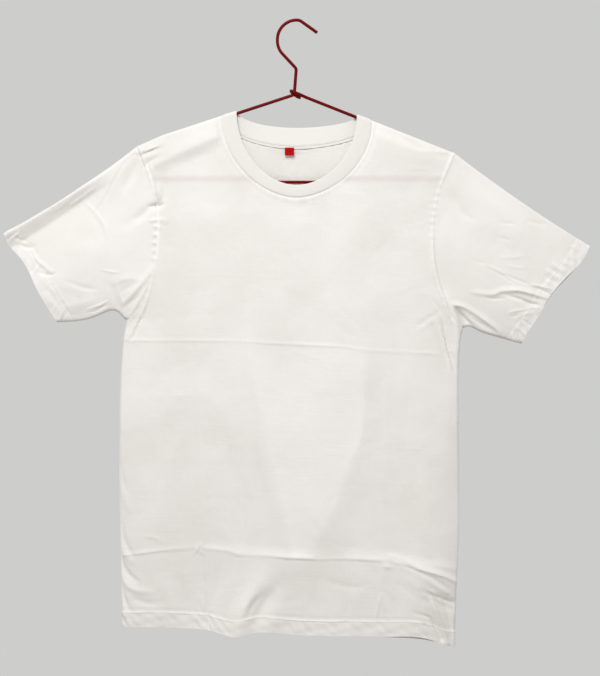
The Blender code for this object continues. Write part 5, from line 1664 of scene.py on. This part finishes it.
def neckRow(front):
    angles = np.linspace(0.02, math.pi - 0.02, stitch["points"]["neck"])
    return (*neckCurve(neckSeam, front, angles, seams["neckStitch"]), front)


neckStitches = stitchPiece("neckStitches", [neckRow(front) for front in (True, False)])
hemStitches = stitchPiece("hemStitches", [
    hemRow(front, up) for front in (True, False) for up in seams["hemStitch"]])
cuffStitches = [
    stitchPiece(name, [cuffRow(side, front, up) for front in (True, False) for up in seams["cuffStitch"]])
    for side, name in ((-1, "rightCuffStitches"), (1, "leftCuffStitches"))]
print("stitches made:", [len(piece.data.polygons) for piece in (neckStitches, hemStitches, *cuffStitches)])


def roundedCorner(before, corner, after):
    here = np.array(corner[:2], float)
    back, on = np.array(before[:2]) - here, np.array(after[:2]) - here
    back, on = back / np.linalg.norm(back), on / np.linalg.norm(on)
    half = math.acos(float(np.clip(back @ on, -1, 1))) / 2
    centre = here + (back + on) / np.linalg.norm(back + on) * corner[2] / math.sin(half)
    start = here + back * corner[2] / math.tan(half) - centre
    end = here + on * corner[2] / math.tan(half) - centre
    turn = math.pi - 2 * half
    steps = max(2, math.ceil(turn / math.radians(hanger["arcStep"])))
    return [centre + (start * math.sin((1 - t) * turn) + end * math.sin(t * turn)) / math.sin(turn)
            for t in np.arange(steps + 1) / steps]


def wireLine():
    # the centre line: the bends, then the loose end wrapped round the neck and under its own arm
    bends = list(hanger["bends"].values())
    flat = [np.array(bends[0][:2])]
    for before, corner, after in zip(bends, bends[1:], bends[2:]):
        arc = roundedCorner(before, corner, after)
        flat += arc[1:] if np.linalg.norm(flat[-1] - arc[0]) < hanger["radius"] else arc
    flat.append(np.array(bends[-1][:2]))
    line = [(x, 0.0, z) for x, z in flat]
    reach = 2 * hanger["radius"] + hanger["wrapSpare"]
    top, foot, root = (hanger["bends"][name] for name in ("neckTop", "neckFoot", "armRoot"))
    neckX = lineAt(root[1], top[1], foot[1], top[0], foot[0])
    halfWay = (root[0] + neckX) / 2
    line.append((halfWay, -0.8 * reach, armLine(halfWay, 1)))
    for turn in hanger["wrapTurns"] * np.arange(hanger["wrapSteps"] + 1) / hanger["wrapSteps"]:
        angle = 2 * math.pi * turn
        z = armLine(neckX, 1) + hanger["wrapLift"] * math.sin(angle) - hanger["wrapDrop"] * turn
        line.append((neckX - reach * math.sin(angle), -reach * math.cos(angle), z))
    end = line[-1]
    fall = armLine(1, 1) - armLine(0, 1)
    line.append((end[0] + hanger["wrapTail"], end[1], end[2] + hanger["wrapTail"] * fall))
    return np.array(line)


def hangerWire():
    line = wireLine()
    # long straight runs get points between, and the ends are rounded off
    fine = [line[0]]
    for a, b in zip(line, line[1:]):
        pieces = max(1, math.ceil(np.linalg.norm(b - a) / hanger["runStep"]))
        fine += [a + (b - a) * k / pieces for k in range(1, pieces + 1)]
    fine = np.array(fine)
    head, tail = (
        [(end + (after - end) / np.linalg.norm(after - end) * far, share) for far, share in hanger["tips"]]
        for end, after in ((fine[0], fine[1]), (fine[-1], fine[-2])))
    run = head + [(place, 1.0) for place in fine[1:-1]] + tail[::-1]
    curve = bpy.data.curves.new("hangerWire", "CURVE")
    curve.dimensions = "3D"
    curve.bevel_depth = (hanger["radius"] + hanger["coat"]) * mm
    curve.bevel_resolution = 4
    curve.use_fill_caps = True
    spline = curve.splines.new("POLY")
    spline.points.add(len(run) - 1)
    for point, (place, radius) in zip(spline.points, run):
        point.co = (*(place * mm), 1)
        point.radius = radius
    shaped = bpy.data.objects.new("wireShape", curve)
    bpy.context.scene.collection.objects.link(shaped)
    bpy.context.view_layer.update()
    mesh = bpy.data.meshes.new_from_object(shaped.evaluated_get(bpy.context.evaluated_depsgraph_get()))
    bpy.data.objects.remove(shaped)
    mesh.materials.clear()
    mesh.name = "hangerWire"
    return newObject("hangerWire", mesh, pvcCoat)


wire = hangerWire()
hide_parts("hanger_wire")
print("hanger made:", len(wire.data.polygons), "faces")
